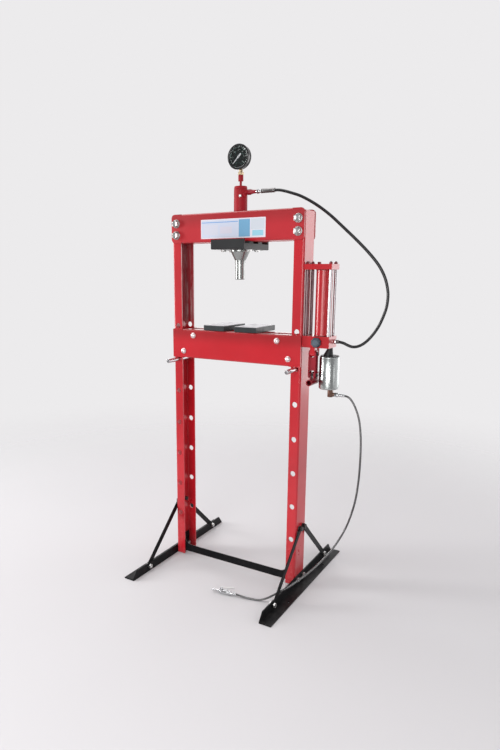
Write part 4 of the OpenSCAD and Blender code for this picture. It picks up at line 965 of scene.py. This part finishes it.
BLEED_AT, PLUG_AT = (-64, 1565), (-26, 1567)
seat = turned(rounded([(0, -2), (5.4, -2), (5.4, 0.5), (4.2, 0.8), (0, 0.8)], 0.4), 32)
piece("bleed_screw", together(on_tube(hex_head(8, 4.2), *BLEED_AT, 0.4), on_tube(seat, *BLEED_AT)), ZINC)
plug = rounded([(0, -3), (7.6, -3), (7.6, 1.4), (6.6, 2.4), (4.0, 2.4), (3.6, 1.2), (0, 1.2)], 0.6)
piece("cylinder_plug", on_tube(turned(plug), *PLUG_AT), TUBE_RED)


def slotted_nut(profile, slots, half_width, floor, above, sides=96):
    """A ring nut turned from a closed profile, with spanner slots: within half_width of a slot's middle
    line, and above a height, every point that lies further out than the floor is drawn in to it."""
    p, slots = np.array(profile, float), np.array(slots)

    def off(a, spots):
        """How far each angle lies from the nearest of some others."""
        return np.abs((a - spots[None, :] + math.pi) % (2 * math.pi) - math.pi).min(axis=1)

    base = angles(sides)
    half = math.asin(half_width / p[:, 0].max())
    edges = (slots[:, None] + half * np.array(SIDES)).ravel()
    a = np.concatenate([base[off(base, edges) > 0.02, 0], edges - 1e-4, edges + 1e-4])
    a = np.sort(a % (2 * math.pi))[:, None]
    cut = (off(a, slots)[:, None] < half) & (p[:, 1] > above) & (p[:, 0] > floor)
    return spun(np.where(cut, floor, p[:, 0]), p[:, 1], a, True)


low, high = heights("ring_nut")
slots = np.radians([45, 135, 225, 315])
piece("ring_nut_turned", slotted_nut([
    (20.2, low), (22.4, low), (23.0, low + 0.6), (24.5, low + 4), (25.2, low + 4.8), (37.6, high - 9.2),
    (38.0, high - 8.4), (38.5, high - 7.6), (38.5, high - 1), (37.7, high), (26, high), (25.4, high - 0.6),
    (25.4, tube_low), (20.2, tube_low)], slots, half_width=4, floor=33.5, above=high - 8.8),
    TURNED, "ring_nut")
wiper = heights("wiper_ring")[0]
piece("wiper_holder", hollow(rounded([
    (20.2, low), (19.9, wiper + 1), (20.4, wiper), (20.9, wiper), (21.5, wiper + 0.7), (21.5, wiper + 6.2),
    (20.7, wiper + 6.8), (20.7, wiper + 8.2), (21.5, wiper + 8.8), (21.5, low - 0.4), (21.0, low),
    (20.2, low)], 0.2, 3), 64), TURNED, "wiper_ring")
low, high = heights("ram")
piece("ram_bar", turned(rounded([
    (0, low + 2), (3.5, low + 2), (4.2, low), (17.8, low), (19.5, low + 1.7), (19.5, high), (11, high),
    (11, low + 54), (0, low + 54)], 0.8, 3), 72), TURNED, "ram", "ram")

# ---- gauge -----------------------------------------------------------------

GAUGE_Z = middle("gauge_bezel")[2]
FRONT = ends("gauge_bezel")[0][1]
ZERO, SWING = 225, 270
SCALE_END, SCALE_STEP = 30, 5
LONG_STROKE, STROKE = (30.5, 36.5, 0.75), (33.0, 36.5, 0.38)
NUMBER_R, NUMBER_SIZE = 25.0, 7.0


def to_front(surface, y=FRONT):
    """The surface turned so that its Z looks out of the gauge's face, its origin on the gauge's axis at y."""
    return place(surface, axes(X, Z, (0, -1, 0), (0, y, GAUGE_Z)))


def dial_turn(share):
    """The direction of a share of the scale: from the zero at the lower left, clockwise over the swing."""
    a = math.radians(ZERO - SWING * share)
    return np.array([math.cos(a), math.sin(a), 0])


neck_low, neck_high = heights("gauge_neck")
piece("gauge_stem_sleeve", turned(rounded([
    (0, cap_high - 4), (4.5, cap_high - 4), (4.5, neck_low - 23), (9.0, neck_low - 23), (10, neck_low - 22),
    (10, neck_low - 1), (9.2, neck_low), (0, neck_low)], 0.7, 3)), TUBE_RED, "gauge_adaptor")
piece("gauge_neck_hex", together(
    hexed(19, [(0, neck_low), (9, neck_low), (11, neck_low + 1), (11, neck_low + 10), (9, neck_low + 11),
               (0, neck_low + 11)]),
    turned([(0, neck_low + 10), (7.5, neck_low + 10), (7.5, neck_high - 0.5), (0, neck_high - 0.5)])),
    BRASS, "gauge_neck")

BACK, DIAL_UP = -32.0, -5.0
case = rounded([
    (0, BACK + 1.5), (10, BACK + 1.5), (10.5, BACK + 0.4), (38, BACK + 0.4), (42.5, BACK + 2.5),
    (44.6, BACK + 7), (45, -10), (45, -2.2), (43, -2.2), (43, BACK + 2.4), (0, BACK + 2.4)], 1.6)
piece("gauge_drum", to_front(turned(case, 96)), BLACK)
spindle = [(0, BACK + 3), (1.5, BACK + 3), (1.5, -3.0), (1.1, -2.75), (0, -2.75)]
piece("gauge_spindle", to_front(turned(spindle, 24)), BRASS, "gauge_case")
rim = rounded([
    (45.3, -8), (47.1, -8), (47.5, -7), (47.5, -2.2), (46.2, -0.5), (43.5, 0), (40.6, -0.1), (39.0, -1.0),
    (39.2, -1.6), (45.2, -1.7), (45.2, -7.8)], 0.7)
piece("gauge_rim", to_front(hollow(rim, 96)), RIM_BLACK, "gauge_bezel")
disc = [(2, DIAL_UP - 1), (42.8, DIAL_UP - 1), (42.8, DIAL_UP), (2, DIAL_UP)]
piece("gauge_face", to_front(hollow(disc, 96)), DIAL, "gauge_dial")


def scale_marks():
    """The dial's strokes: thin bars from one radius to another, each given with half its width and turned
    about the centre to its even share of the scale; every fifth is long and thick, and an arc joins them."""
    parts = []
    for value in range(SCALE_END + 1):
        inner, outer, w = STROKE if value % SCALE_STEP else LONG_STROKE
        bar = slab([(inner, -w), (outer, -w), (outer, w), (inner, w)], 0, 0.12)
        along = dial_turn(value / SCALE_END)
        parts.append(place(bar, axes(along, np.cross(Z, along), Z, (0, 0, 0))))
    a = np.radians(np.linspace(ZERO, ZERO - SWING, 91))[:, None]
    r, z = np.array([(36.3, 0), (36.9, 0), (36.9, 0.1), (36.3, 0.1)]).T
    parts.append(grid(np.stack([r * np.cos(a), r * np.sin(a), z + 0 * a], -1)[::-1], False, True))
    return to_front(together(*parts), FRONT - DIAL_UP - 0.02)


piece("gauge_marks", scale_marks(), DIAL_PRINT)


def dial_numbers():
    """The numbers 0 to 30 inside the scale, as flat letters made into one mesh and laid on the dial."""
    parts = []
    for value in range(0, SCALE_END + 1, SCALE_STEP):
        curve = bpy.data.curves.new("number", "FONT")
        curve.body, curve.size, curve.align_x, curve.align_y = str(value), NUMBER_SIZE, "CENTER", "CENTER"
        curve.extrude, curve.resolution_u = 0.05, 2
        holder = bpy.data.objects.new("number", curve)
        mesh = bpy.data.meshes.new_from_object(holder)
        mesh.calc_loop_triangles()
        p = np.empty(len(mesh.vertices) * 3)
        mesh.vertices.foreach_get("co", p)
        f = np.array([t.vertices[:] for t in mesh.loop_triangles])
        parts.append((p.reshape(-1, 3) + NUMBER_R * dial_turn(value / SCALE_END) + (0, 0, 0.08), f))
        for data, made in ((bpy.data.objects, holder), (bpy.data.curves, curve), (bpy.data.meshes, mesh)):
            data.remove(made)
    return to_front(together(*parts), FRONT - DIAL_UP)


piece("gauge_numbers", dial_numbers(), DIAL_PRINT)

tip = dial_turn(0)[:2]
across = np.array([-tip[1], tip[0]])
outline = [along * tip + out * across for along, out in (
    (-15.5, -3.4), (0, -2.0), (34, -1.2), (36, 0), (34, 1.2), (0, 2.0), (-15.5, 3.4))]
hub = rounded([(1.7, -0.4), (4.5, -0.4), (4.5, 0.2), (4.1, 0.4), (1.7, 0.4)], 0.2, 3)
pointer = together(slab(outline, -0.35, 0.35, 0.1), turned(hub, 40))
piece("gauge_pointer", to_front(pointer, middle("gauge_needle")[1]), NEEDLE_WHITE, "gauge_needle",
      "gauge_needle")
window = turned([(0, -0.8), (43.0, -0.8), (43.0, 0), (0, 0)], 96)
piece("gauge_window", to_front(window, ends("gauge_lens")[0][1]), GLASS, "gauge_lens")

# ---- oil line --------------------------------------------------------------

elbow_hex = hexed(19, [(0, 32.5), (9.2, 32.5), (11, 33.4), (11, 45.6), (9.4, 46.5), (0, 46.5)])
elbow = rounded([(0, 45), (9.2, 45.4), (9.2, 49), (8.2, 52), (6.6, 64), (6.5, 71), (0, 71)], 2)
piece("port_elbow", at(together(elbow_hex, turned(elbow)), PORT, X), DARK_RED, "port_fitting")
crimp_hex = hexed(15, [(0, 71), (7.0, 71), (8.6, 72), (8.6, 83), (7.2, 84), (0, 84)])
collar = rounded([(0, 83), (6.4, 83), (6.4, 88), (7.5, 89), (7.5, 92), (0, 92)], 0.6, 3)
piece("oil_crimp_upper", at(together(crimp_hex, turned(collar)), PORT, X), CHROME)
ferrule("oil_ferrule_upper", (91, 0, PORT[2]), [
    (0, 0), (7.4, 0), (8.5, 1.6), (8.5, 8), (7.9, 9), (8.5, 10), (8.5, 52), (7.9, 53.5), (8.4, 55), (8.0, 59),
    (5.6, 59), (0, 59)], CRIMP, 8, 0.5)


def union(name, length, origin):
    """The swivel nut at a hose's end, along X: hexagonal, its corners turned off at both faces."""
    swivel = hexed(15, [(0, 0), (7.2, 0), (8.6, 0.8), (8.6, length - 1), (7.2, length), (0, length)])
    piece(name, at(swivel, origin, X), CHROME)


OIL_END = np.array([405.0, 8.0, 1019.0])
union("oil_union_lower", 9, OIL_END)
ferrule("oil_ferrule_lower", OIL_END + (8, 0, 0), [(0, 0), (6.4, 0), (7, 1.2), (7, 10.8), (6.4, 12), (0, 12)],
        CRIMP, 8, 0.4)
INLET = np.array([404.0, middle("air_motor_can")[1], 818.0])
union("air_union", 14, INLET + (18, 0, 0))
ferrule("air_ferrule", INLET + (31, 0, 0), [
    (0, 0), (5, 0), (5.2, 3), (6, 4), (6, 9), (5.2, 10), (6, 11), (6, 17), (5.2, 18), (6, 19), (6, 26),
    (5.6, 27), (0, 27)], CHROME, 0, 0, "hose_ends")

# ---- table -----------------------------------------------------------------

table_low, table_top = heights("table_beam_front")
TABLE_FACE = 54.0
TABLE_BOLTS = [((sx * x, -TABLE_FACE, z), (0, -1, 0)) for sx in SIDES
               for x, z in ((244.0, table_low + 28.5), (194.5, table_top - 24.7))]
HEAD_R, HEAD_H = 12.5, 8
dome_r = (HEAD_R**2 + HEAD_H**2) / (2 * HEAD_H)
rise = np.linspace(0, 1, 9) * math.asin(HEAD_R / dome_r)
dome = np.column_stack([dome_r * np.sin(rise), dome_r * np.cos(rise) - dome_r + HEAD_H])[::-1]
table_bolt = together(
    turned([(0, 0), (12.1, 0), *dome]), turned(thread(6, -2 * TABLE_FACE - 12, -0.1, 1.75) + [(0, -0.1)], 32),
    nut(12, -2 * TABLE_FACE - 9.6))
piece("table_bolt_set", at_each(table_bolt, TABLE_BOLTS), PINK_SHEEN_ZINC, "table_bolts", "table")
spacer = tube_wall(9, 6.5, 6 - 2 * TABLE_FACE, -6, 0.6, 40)
piece("table_spacer_set", at_each(spacer, TABLE_BOLTS), BLACK, "table_spacers", "table")

for side in ("left", "right"):
    node = "table_pin_" + side
    (x, low, _), (_, high, _) = ends(node)
    long = high - low
    pin = turned(rounded([
        (0, 0), (6.6, 0), (9, 2.4), (9, 9), (8.6, 9.6), (8.6, 11), (9, 11.6), (9, long - 2.4), (6.6, long),
        (0, long)], 0.5, 3))
    origin = (middle(node)[0], low, middle(node)[2])
    piece("pin_bar_" + side, at(pin, origin, Y), PIN_CHROME, node, side + "_pin")

PLATE_SIZE = (100.0, 163.0, 22.0)
PLATE_SPOTS = {"arbor_plate_left": (-143, -50, -3), "arbor_plate_right": (4, -52, -1)}


def arbor_plate(x, y, degrees):
    """A ground plate lying on the table, turned about its corner at x and y, and bevelled at its rims."""
    a = math.radians(degrees)
    wide, long, thick = PLATE_SIZE
    spin = np.array([[math.cos(a), math.sin(a)], [-math.sin(a), math.cos(a)]])
    outline = np.array([(0, 0), (wide, 0), (wide, long), (0, long)]) @ spin + (x, y)
    return slab(outline, table_top, table_top + thick, 1.3)


for node, spot in PLATE_SPOTS.items():
    piece(node + "_ground", arbor_plate(*spot), PLATE, node, "table", sharp=20)

# ---- base ------------------------------------------------------------------

FOOT_WALL, POST_WALL, BRACE_WALL, SPACER, SHIM = 5, 5, 4, 5, 4
BOLT_D, BOLT_END = 12, 12
FOOT_AT, BRACE_FOOT_AT, BRACE_TOP_AT = (302, 28, 22), (306, 256, 22), (306, 17, 246)


def at_legs(surface, x, y, z):
    """The surface at a place on the right front leg and its like on the others, its Z pointing outwards."""
    return at_each(surface, [((sx * x, sy * y, z), (sx, 0, 0)) for sx in SIDES for sy in SIDES])


def gripping(*walls, washers=()):
    """A bolt through several walls, its nut on the last one's far face and its end standing out beyond."""
    return bolt(BOLT_D, sum(walls) + BOLT_END, sum(walls), washers)


piece("foot_bolt_set", together(
    at_legs(gripping(FOOT_WALL, POST_WALL, SHIM), *FOOT_AT),
    at_legs(gripping(BRACE_WALL, FOOT_WALL), *BRACE_FOOT_AT)), ZINC, "foot_bolts")
brace_bolt = gripping(BRACE_WALL, SPACER, POST_WALL, washers=[(22, SPACER, -BRACE_WALL - SPACER)])
piece("brace_bolt_set", at_legs(brace_bolt, *BRACE_TOP_AT), BLACKENED)

# ---- pump ------------------------------------------------------------------

BLOCK_TOP = heights("pump_block")[1]
plate_low, plate_high = heights("pump_top_plate")
tank = middle("oil_reservoir") * (1, 1, 0)
low, high = heights("oil_reservoir")
BORE, SKIN_R = 27.5, 30.5
piece("oil_tank", at(hollow(rounded([
    (BORE, low), (SKIN_R, low), (SKIN_R, BLOCK_TOP + 0.4), (SKIN_R, plate_low - 0.4), (SKIN_R, high),
    (BORE, high)], 0.3, 2), 96), tank), PUMP_RED, "oil_reservoir")
ring = tube_wall(32.0, 30.4, -2.2, 0, 0.5, 72)
piece("tank_seals", at_each(ring, [(tank + (0, 0, z),) for z in (BLOCK_TOP + 2.2, plate_low)]), SEAL_RUBBER)

(x0, y0, _), (x1, y1, rod_top) = ends("pump_tie_rods")
ROD_R, STUD_R = 6, 4
RODS = [((x, y, 0),) for x in (x0 + ROD_R, x1 - ROD_R) for y in (y0 + ROD_R, y1 - ROD_R)]
THREAD_LOW = plate_high + 1
rod_tip = [(r, rod_top + THREAD_LOW - z) for r, z in thread(STUD_R, THREAD_LOW, rod_top, 1.25, 0.6)[::-1]]
rod = turned([
    (0, BLOCK_TOP - 11), (3.6, BLOCK_TOP - 11), (STUD_R, BLOCK_TOP - 10.5), (STUD_R, BLOCK_TOP),
    (5.6, BLOCK_TOP), (ROD_R, BLOCK_TOP + 0.5), (ROD_R, plate_low - 0.5), (5.6, plate_low),
    (STUD_R, plate_low), (STUD_R, THREAD_LOW), *rod_tip], 40)
piece("tie_rods_outer", at_each(rod, RODS[2:]), ROD_CHROME, "pump_tie_rods")
# The inner rods take the painted-shade copy of the rod chrome.
piece("tie_rods_inner", at_each(rod, RODS[:2]), ROD_SHADED, "pump_tie_rods")
filler = at(together(hex_head(12, 7.4, plate_high + 0.6), washer(10, 13, 0.7, plate_high)), tank - (22, 0, 0))
KNOB_HIGH = 16
KNOB_AT = middle("release_knob") * (1, 0, 1) + (0, ends("release_knob")[0][1] + KNOB_HIGH, 0)
WEB_X, PUMP_Y, WEB_BOLT_Y = 292.0, -5.5, 16
web_bolts = at_each(bolt(10, 20), [
    ((WEB_X, PUMP_Y + side * WEB_BOLT_Y, z), (-1, 0, 0))
    for side in SIDES for z in (KNOB_AT[2], (plate_low + plate_high) / 2)])
piece("pump_bolt_set", together(at_each(nut(8, plate_high), RODS), filler, web_bolts), DARK_RED, "pump_bolts")


def fluted(levels, flutes, depth, sides=144):
    """A hand knob about Z from (radius, height, share) levels: each level is drawn in by its share of
    depth at every flute, following the upper half of a cosine so that the lands between stay round."""
    a = angles(sides)
    dip = np.clip(np.cos(a * flutes), -0.25, 1) * 0.8 + 0.2
    r, z, share = np.array(levels, float).T
    return spun(r - share * depth * dip, z, a)


def on_knob(surface):
    """The surface set on the knob's axis, its Z pointing to the front."""
    return at(surface, KNOB_AT, (0, -1, 0))


knob_face = [
    (0, 0, 0), (16.0, 0, 0.5), (18.0, 0.6, 1), (18.9, 2, 1), (19, 4, 1), (19, 11.5, 1), (18.6, 13.5, 1),
    (17.6, 15, 0.9), (16.2, 15.8, 0.6), (14.5, 16, 0), (12.5, 15.4, 0), (11, 14.9, 0), (0, 14.9, 0)]
knob_stem = turned([(0, -24), (5, -24), (5, 0.4), (0, 0.4)], 32)
piece("release_knob_grip", on_knob(together(fluted(knob_face, flutes=8, depth=2.2), knob_stem)), KNOB,
      "release_knob", "release_knob")
knob_cap = rounded([(0, 14.8), (10.6, 14.8), (10.6, 15.2), (9.8, 15.8), (0, 15.8)], 0.4, 3)
piece("release_knob_cap", on_knob(turned(knob_cap, 64)), KNOB_CAP, body="release_knob")

BLOCK_FLOOR = 997.0
low, high = heights("plunger_barrel")
piece("plunger_sleeve", at(hollow(rounded([
    (7.4, low), (9.8, low), (11, low + 1.4), (11, BLOCK_FLOOR), (10, BLOCK_FLOOR), (10, high), (7.3, high)],
    0.4, 3), 56), middle("plunger_barrel") * (1, 1, 0)), PUMP_RED, "plunger_barrel")

LINK_X, LINK_Y, LINK_FACE, LINK_PINS = 342.0, -36.0, 15, (975.0, 892.0)
rivet = turned(rounded([(0, -0.2), (7.2, -0.2), (7.5, 0.4), (6.6, 2.2), (4.2, 3.0), (0, 3.0)], 0.8), 40)
shank = turned([(0, -30), (5, -30), (5, 0), (0, 0)], 32)
lever_pins = [at(part, (LINK_X + LINK_FACE * side, LINK_Y, z), (side, 0, 0))
              for z in LINK_PINS for part, side in ((rivet, 1), (rivet, -1), (shank, 1))]
piece("lever_pin_set", together(*lever_pins), BLACKENED, "lever_pins")

# ---- air motor -------------------------------------------------------------

low, high = heights("air_motor_can")
can = middle("air_motor_can") * (1, 1, 0)
CAN_R, CAN_FOOT, CAN_WALL = ends("air_motor_can")[1][0] - can[0], 6.5, 2


def can_bend(r, arc):
    """The can's lower bend: a quarter circle of radius r, at the angles of an arc."""
    return [(CAN_R - CAN_FOOT + r * math.cos(t), low + CAN_FOOT + r * math.sin(t)) for t in arc]


quarter = np.linspace(-math.pi / 2, 0, 9)
shell = [(4, low), *can_bend(CAN_FOOT, quarter)] + [(CAN_R + r, high + z) for r, z in (
    (0, -5), (-0.8, -4.2), (-0.8, -3.2), (0, -2.4), (-0.2, -0.8), (-1.2, 0), (-3, 0))] + [
    (4.8, high - 0.6), (4.8, high - CAN_WALL), (CAN_R - CAN_WALL, high - CAN_WALL),
    (CAN_R - CAN_WALL, low + CAN_FOOT),
    *can_bend(CAN_FOOT - CAN_WALL, quarter[::-1]), (4, low + CAN_WALL)]
piece("motor_shell", at(hollow(shell, 120), can), CAN, "air_motor_can", sharp=50)
low, high = heights("air_inlet")
inlet_hex = hexed(19, [(0, low), (9.2, low), (11, low + 1), (11, high - 1), (9.2, high), (0, high)])
spigot = turned(rounded([(0, 4), (7.5, 4), (7.5, 16.6), (6.6, 18), (0, 18)], 0.6, 3))
piece("air_inlet_body", together(at(inlet_hex, INLET * (1, 1, 0)), at(spigot, INLET, X)), BROWN, "air_inlet")

# ---- hand valve ------------------------------------------------------------

VALVE_AT, VALVE_TURN = np.array(AIR_ROUTE[-1]), math.radians(188)
VALVE_ALONG = np.array([math.cos(VALVE_TURN), math.sin(VALVE_TURN), 0])
VALVE_ACROSS = np.cross(VALVE_ALONG, Z)


def side_view(surface, out=0):
    """A drawing of the valve's side, x along the valve and y up, set out from its middle plane."""
    return place(surface, axes(VALVE_ALONG, Z, VALVE_ACROSS, VALVE_AT + VALVE_ACROSS * out))


def on_valve(profile, soft, steps, sides):
    """A profile turned about the valve's own line."""
    return at(turned(rounded(profile, soft, steps), sides), VALVE_AT, VALVE_ALONG)


valve = on_valve([
    (0, 0), (5.6, 0), (6.5, 1), (6.5, 5), (5.7, 6), (5.7, 8), (6.5, 9), (6.5, 13), (5.7, 14), (5.7, 16),
    (6.5, 17), (6.5, 22), (8.6, 22), (9.5, 23), (9.5, 30), (8.9, 30.8), (8.9, 31.8), (9.5, 32.6), (9.5, 62),
    (8.9, 63), (8.9, 64), (9.5, 65), (9.5, 71), (8.6, 72), (0, 72)], 0.4, 3, 56)
lug = slab([(58, 2), (70, 2), (70, 13.6), (66.6, 17.2), (61.4, 17.2), (58, 13.6)], 0, 3, 0.5)
stem = turned(rounded([(0, 0), (3, 0), (3, 13), (2.2, 13.6), (0, 13.6)], 0.6, 3), 28)
cross_pin = turned(rounded([
    (0, -8), (2.6, -8), (2.6, -7.4), (2, -7.2), (2, 7.2), (2.6, 7.4), (2.6, 8), (0, 8)], 0.2, 2), 24)
valve_body = piece("valve_body_turned", together(
    valve, side_view(lug, -8), side_view(lug, 5), at(stem, VALVE_AT + VALVE_ALONG * 38),
    at(cross_pin, VALVE_AT + VALVE_ALONG * 64 + (0, 0, 13.4), VALVE_ACROSS)), CHROME, "air_valve_body")
lever_line = smooth_route([
    (67.5, 12.6, 0), (64, 12.9, 0), (60, 14.6, 0), (52, 17.2, 0), (40, 20.2, 0), (30, 22.6, 0), (22, 24.2, 0),
    (14, 25.0, 0), (7.2, 25.3, 0)], 40)
valve_lever = piece("valve_lever_pressed", side_view(carried(lever_line, box_section(8, 2.2, 0.8), Y)), ZINC,
                    "air_valve_lever", "air_valve_lever")
nipple = on_valve([
    (0, 72), (6.2, 72), (7, 72.8), (7, 79.4), (6.4, 80), (4.5, 81), (4.5, 92.6), (5.2, 94.4), (6, 96),
    (6, 99.6), (5.4, 101), (4.4, 104.8), (3.6, 106), (2.4, 106), (2.4, 100), (0, 100)], 0.5, 3, 40)
valve_nipple = piece("air_nipple_turned", nipple, CHROME, "air_nipple")
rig.cord(air_hose, exit=air_line[0], length=air_length, diameter=AIR_HOSE_D * MM, far_end="fitting",
        stiffness="medium", lay="loose", path=air_line, with_pieces=[valve_body, valve_lever, valve_nipple])

# ---- label -----------------------------------------------------------------

LABEL_WIDE, LABEL_HIGH, LABEL_THICK, LABEL_MIDDLE = 291.0, 74.0, 0.35, (-6.5, 1442.5)
rim = box_section(LABEL_WIDE, LABEL_HIGH, 2.0, 5) + LABEL_MIDDLE
card = slab(rim, BEAM_FACE, BEAM_FACE + LABEL_THICK, 0.12)
piece("front_label", place(card, axes(X, Z, (0, -1, 0), (0, 0, 0))), LABEL_PRINT)

# ---- springs ---------------------------------------------------------------

WIRE_R, COIL_STEPS = 1.2, 24


def coil_spring(node, moving, turns):
    """An open coil where the CAD one is: its lower end follows the moving body and its upper end the frame,
    and it stretches smoothly between. Its line goes round at one radius while the height grows evenly."""
    low, high = ends(node)
    x, y, _ = middle(node)
    reach = (high[0] - low[0]) / 2 - WIRE_R
    share = np.linspace(0, 1, turns * COIL_STEPS + 1)
    a = 2 * math.pi * turns * share
    z = low[2] + WIRE_R + (high[2] - low[2] - 2 * WIRE_R) * share
    line = np.column_stack([x + reach * np.cos(a), y + reach * np.sin(a), z])
    hold = (moving, "frame", low[2] * MM, high[2] * MM)
    piece(node + "_coil", round_bar(line, WIRE_R, Z, 10), SPRING, node, hold)


coil_spring("return_spring", "ram", turns=15)
coil_spring("air_piston_spring", "air_piston", turns=6)

# ---- finishes of the CAD nodes that stay -----------------------------------

for material, names in (
        (RED, ("left_post", "right_post")),
        (HEAD_RED, ("upper_beam_front", "upper_beam_rear")),
        (TABLE_RED, ("table_beam_front", "table_beam_rear")),
        (PUMP_RED, ("pump_block", "pump_top_plate")),
        (DARK_RED, ("pump_lever", "lever_links")),
        (BLACK, ("left_foot", "right_foot", "braces", "tie_bar")),
        # Painted light on the motor neck: charcoal in place of black stands in for light on its lit front.
        (CHARCOAL, ("packing_bars", "head_saddle", "motor_neck")),
        (GROUND, ("pump_plunger",)),
        (ZINC, ("piston", "air_piston")),
        (BRASS, ("guide_bush",)),
        (SEAL_RUBBER, ("piston_seal",))):
    for name in names:
        mesh = frame["nodes"][name].data
        mesh.materials.clear()
        mesh.materials.append(material)

# ---- studio ----------------------------------------------------------------

BACKDROP = (0.84, 0.83, 0.84)
FLOOR_REACH = 6.0


def soft_light(name, where, towards, wide, high, watts):
    """A rectangular soft light at a point, turned to look towards another."""
    data = bpy.data.lights.new(name, "AREA")
    data.shape, data.size, data.size_y, data.energy = "RECTANGLE", wide, high, watts
    lamp = in_scene(name, data)
    lamp.visible_camera = False
    lamp.location = where
    lamp.rotation_euler = (Vector(towards) - Vector(where)).to_track_quat("-Z", "Y").to_euler()


soft_light("key", (0.55, -3.3, 1.4), (0, 0, 0.85), 1.3, 2.2, 54)
soft_light("left key", (-3.9, -1.8, 1.5), (0, 0, 0.9), 0.9, 2.0, 110)
soft_light("streak", (2.0, -3.2, 1.5), (0.3, 0, 1.0), 0.26, 2.0, 12)
soft_light("side", (3.5, -0.7, 1.3), (0.4, 0, 1.1), 0.5, 1.8, 4)
soft_light("right panel", (2.3, 3.5, 1.3), (0.2, 0, 0.9), 2.6, 2.6, 40)
soft_light("back left panel", (-2.0, 3.4, 1.35), (0, 0, 1.0), 2.2, 1.3, 18)
soft_light("top", (-1.5, -0.2, 3.9), (0, 0, 0.6), 2.2, 2.6, 62)


def backdrop_light():
    """The surroundings: pale and even to the eye, and as light bright behind the press and dim before it."""
    world = bpy.data.worlds.new("studio")
    bpy.context.scene.world = world
    world.use_nodes = True
    world.node_tree.nodes.clear()
    n = Nodes(world.node_tree)
    towards = n.parts(n.add("TexCoord").outputs["Generated"])[1]
    lit = n.add("Background", {
        "Color": (0.95, 0.93, 0.95), "Strength": n.spread(towards, -0.6, 0.5, 0.30, 0.90)})
    seen = n.add("Background", {"Color": BACKDROP, "Strength": 1.0})
    eye = n.add("LightPath").outputs["Is Camera Ray"]
    both = n.add("MixShader", {0: eye, 1: lit.outputs[0], 2: seen.outputs[0]})
    n.add("OutputWorld", {"Surface": both.outputs[0]})


backdrop_light()
FLOOR_SIDES = 96
edge = np.hstack([np.cos(angles(FLOOR_SIDES)), np.sin(angles(FLOOR_SIDES)), 0 * angles(FLOOR_SIDES)])
floor_mesh = bpy.data.meshes.new("studio_floor")
floor_mesh.from_pydata((FLOOR_REACH * edge).tolist(), [], [tuple(range(FLOOR_SIDES))])
floor_mesh.materials.append(floor_paint(FLOOR_REACH))
floor = in_scene("studio_floor", floor_mesh)
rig.stage(floor)
bpy.context.scene.view_settings.view_transform = "Standard"

json.dump({"cad": [list(map(float, c)) for c in cad_box], "visual": [list(map(float, c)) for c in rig.bounds()]},
          open("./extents.json", "w"))
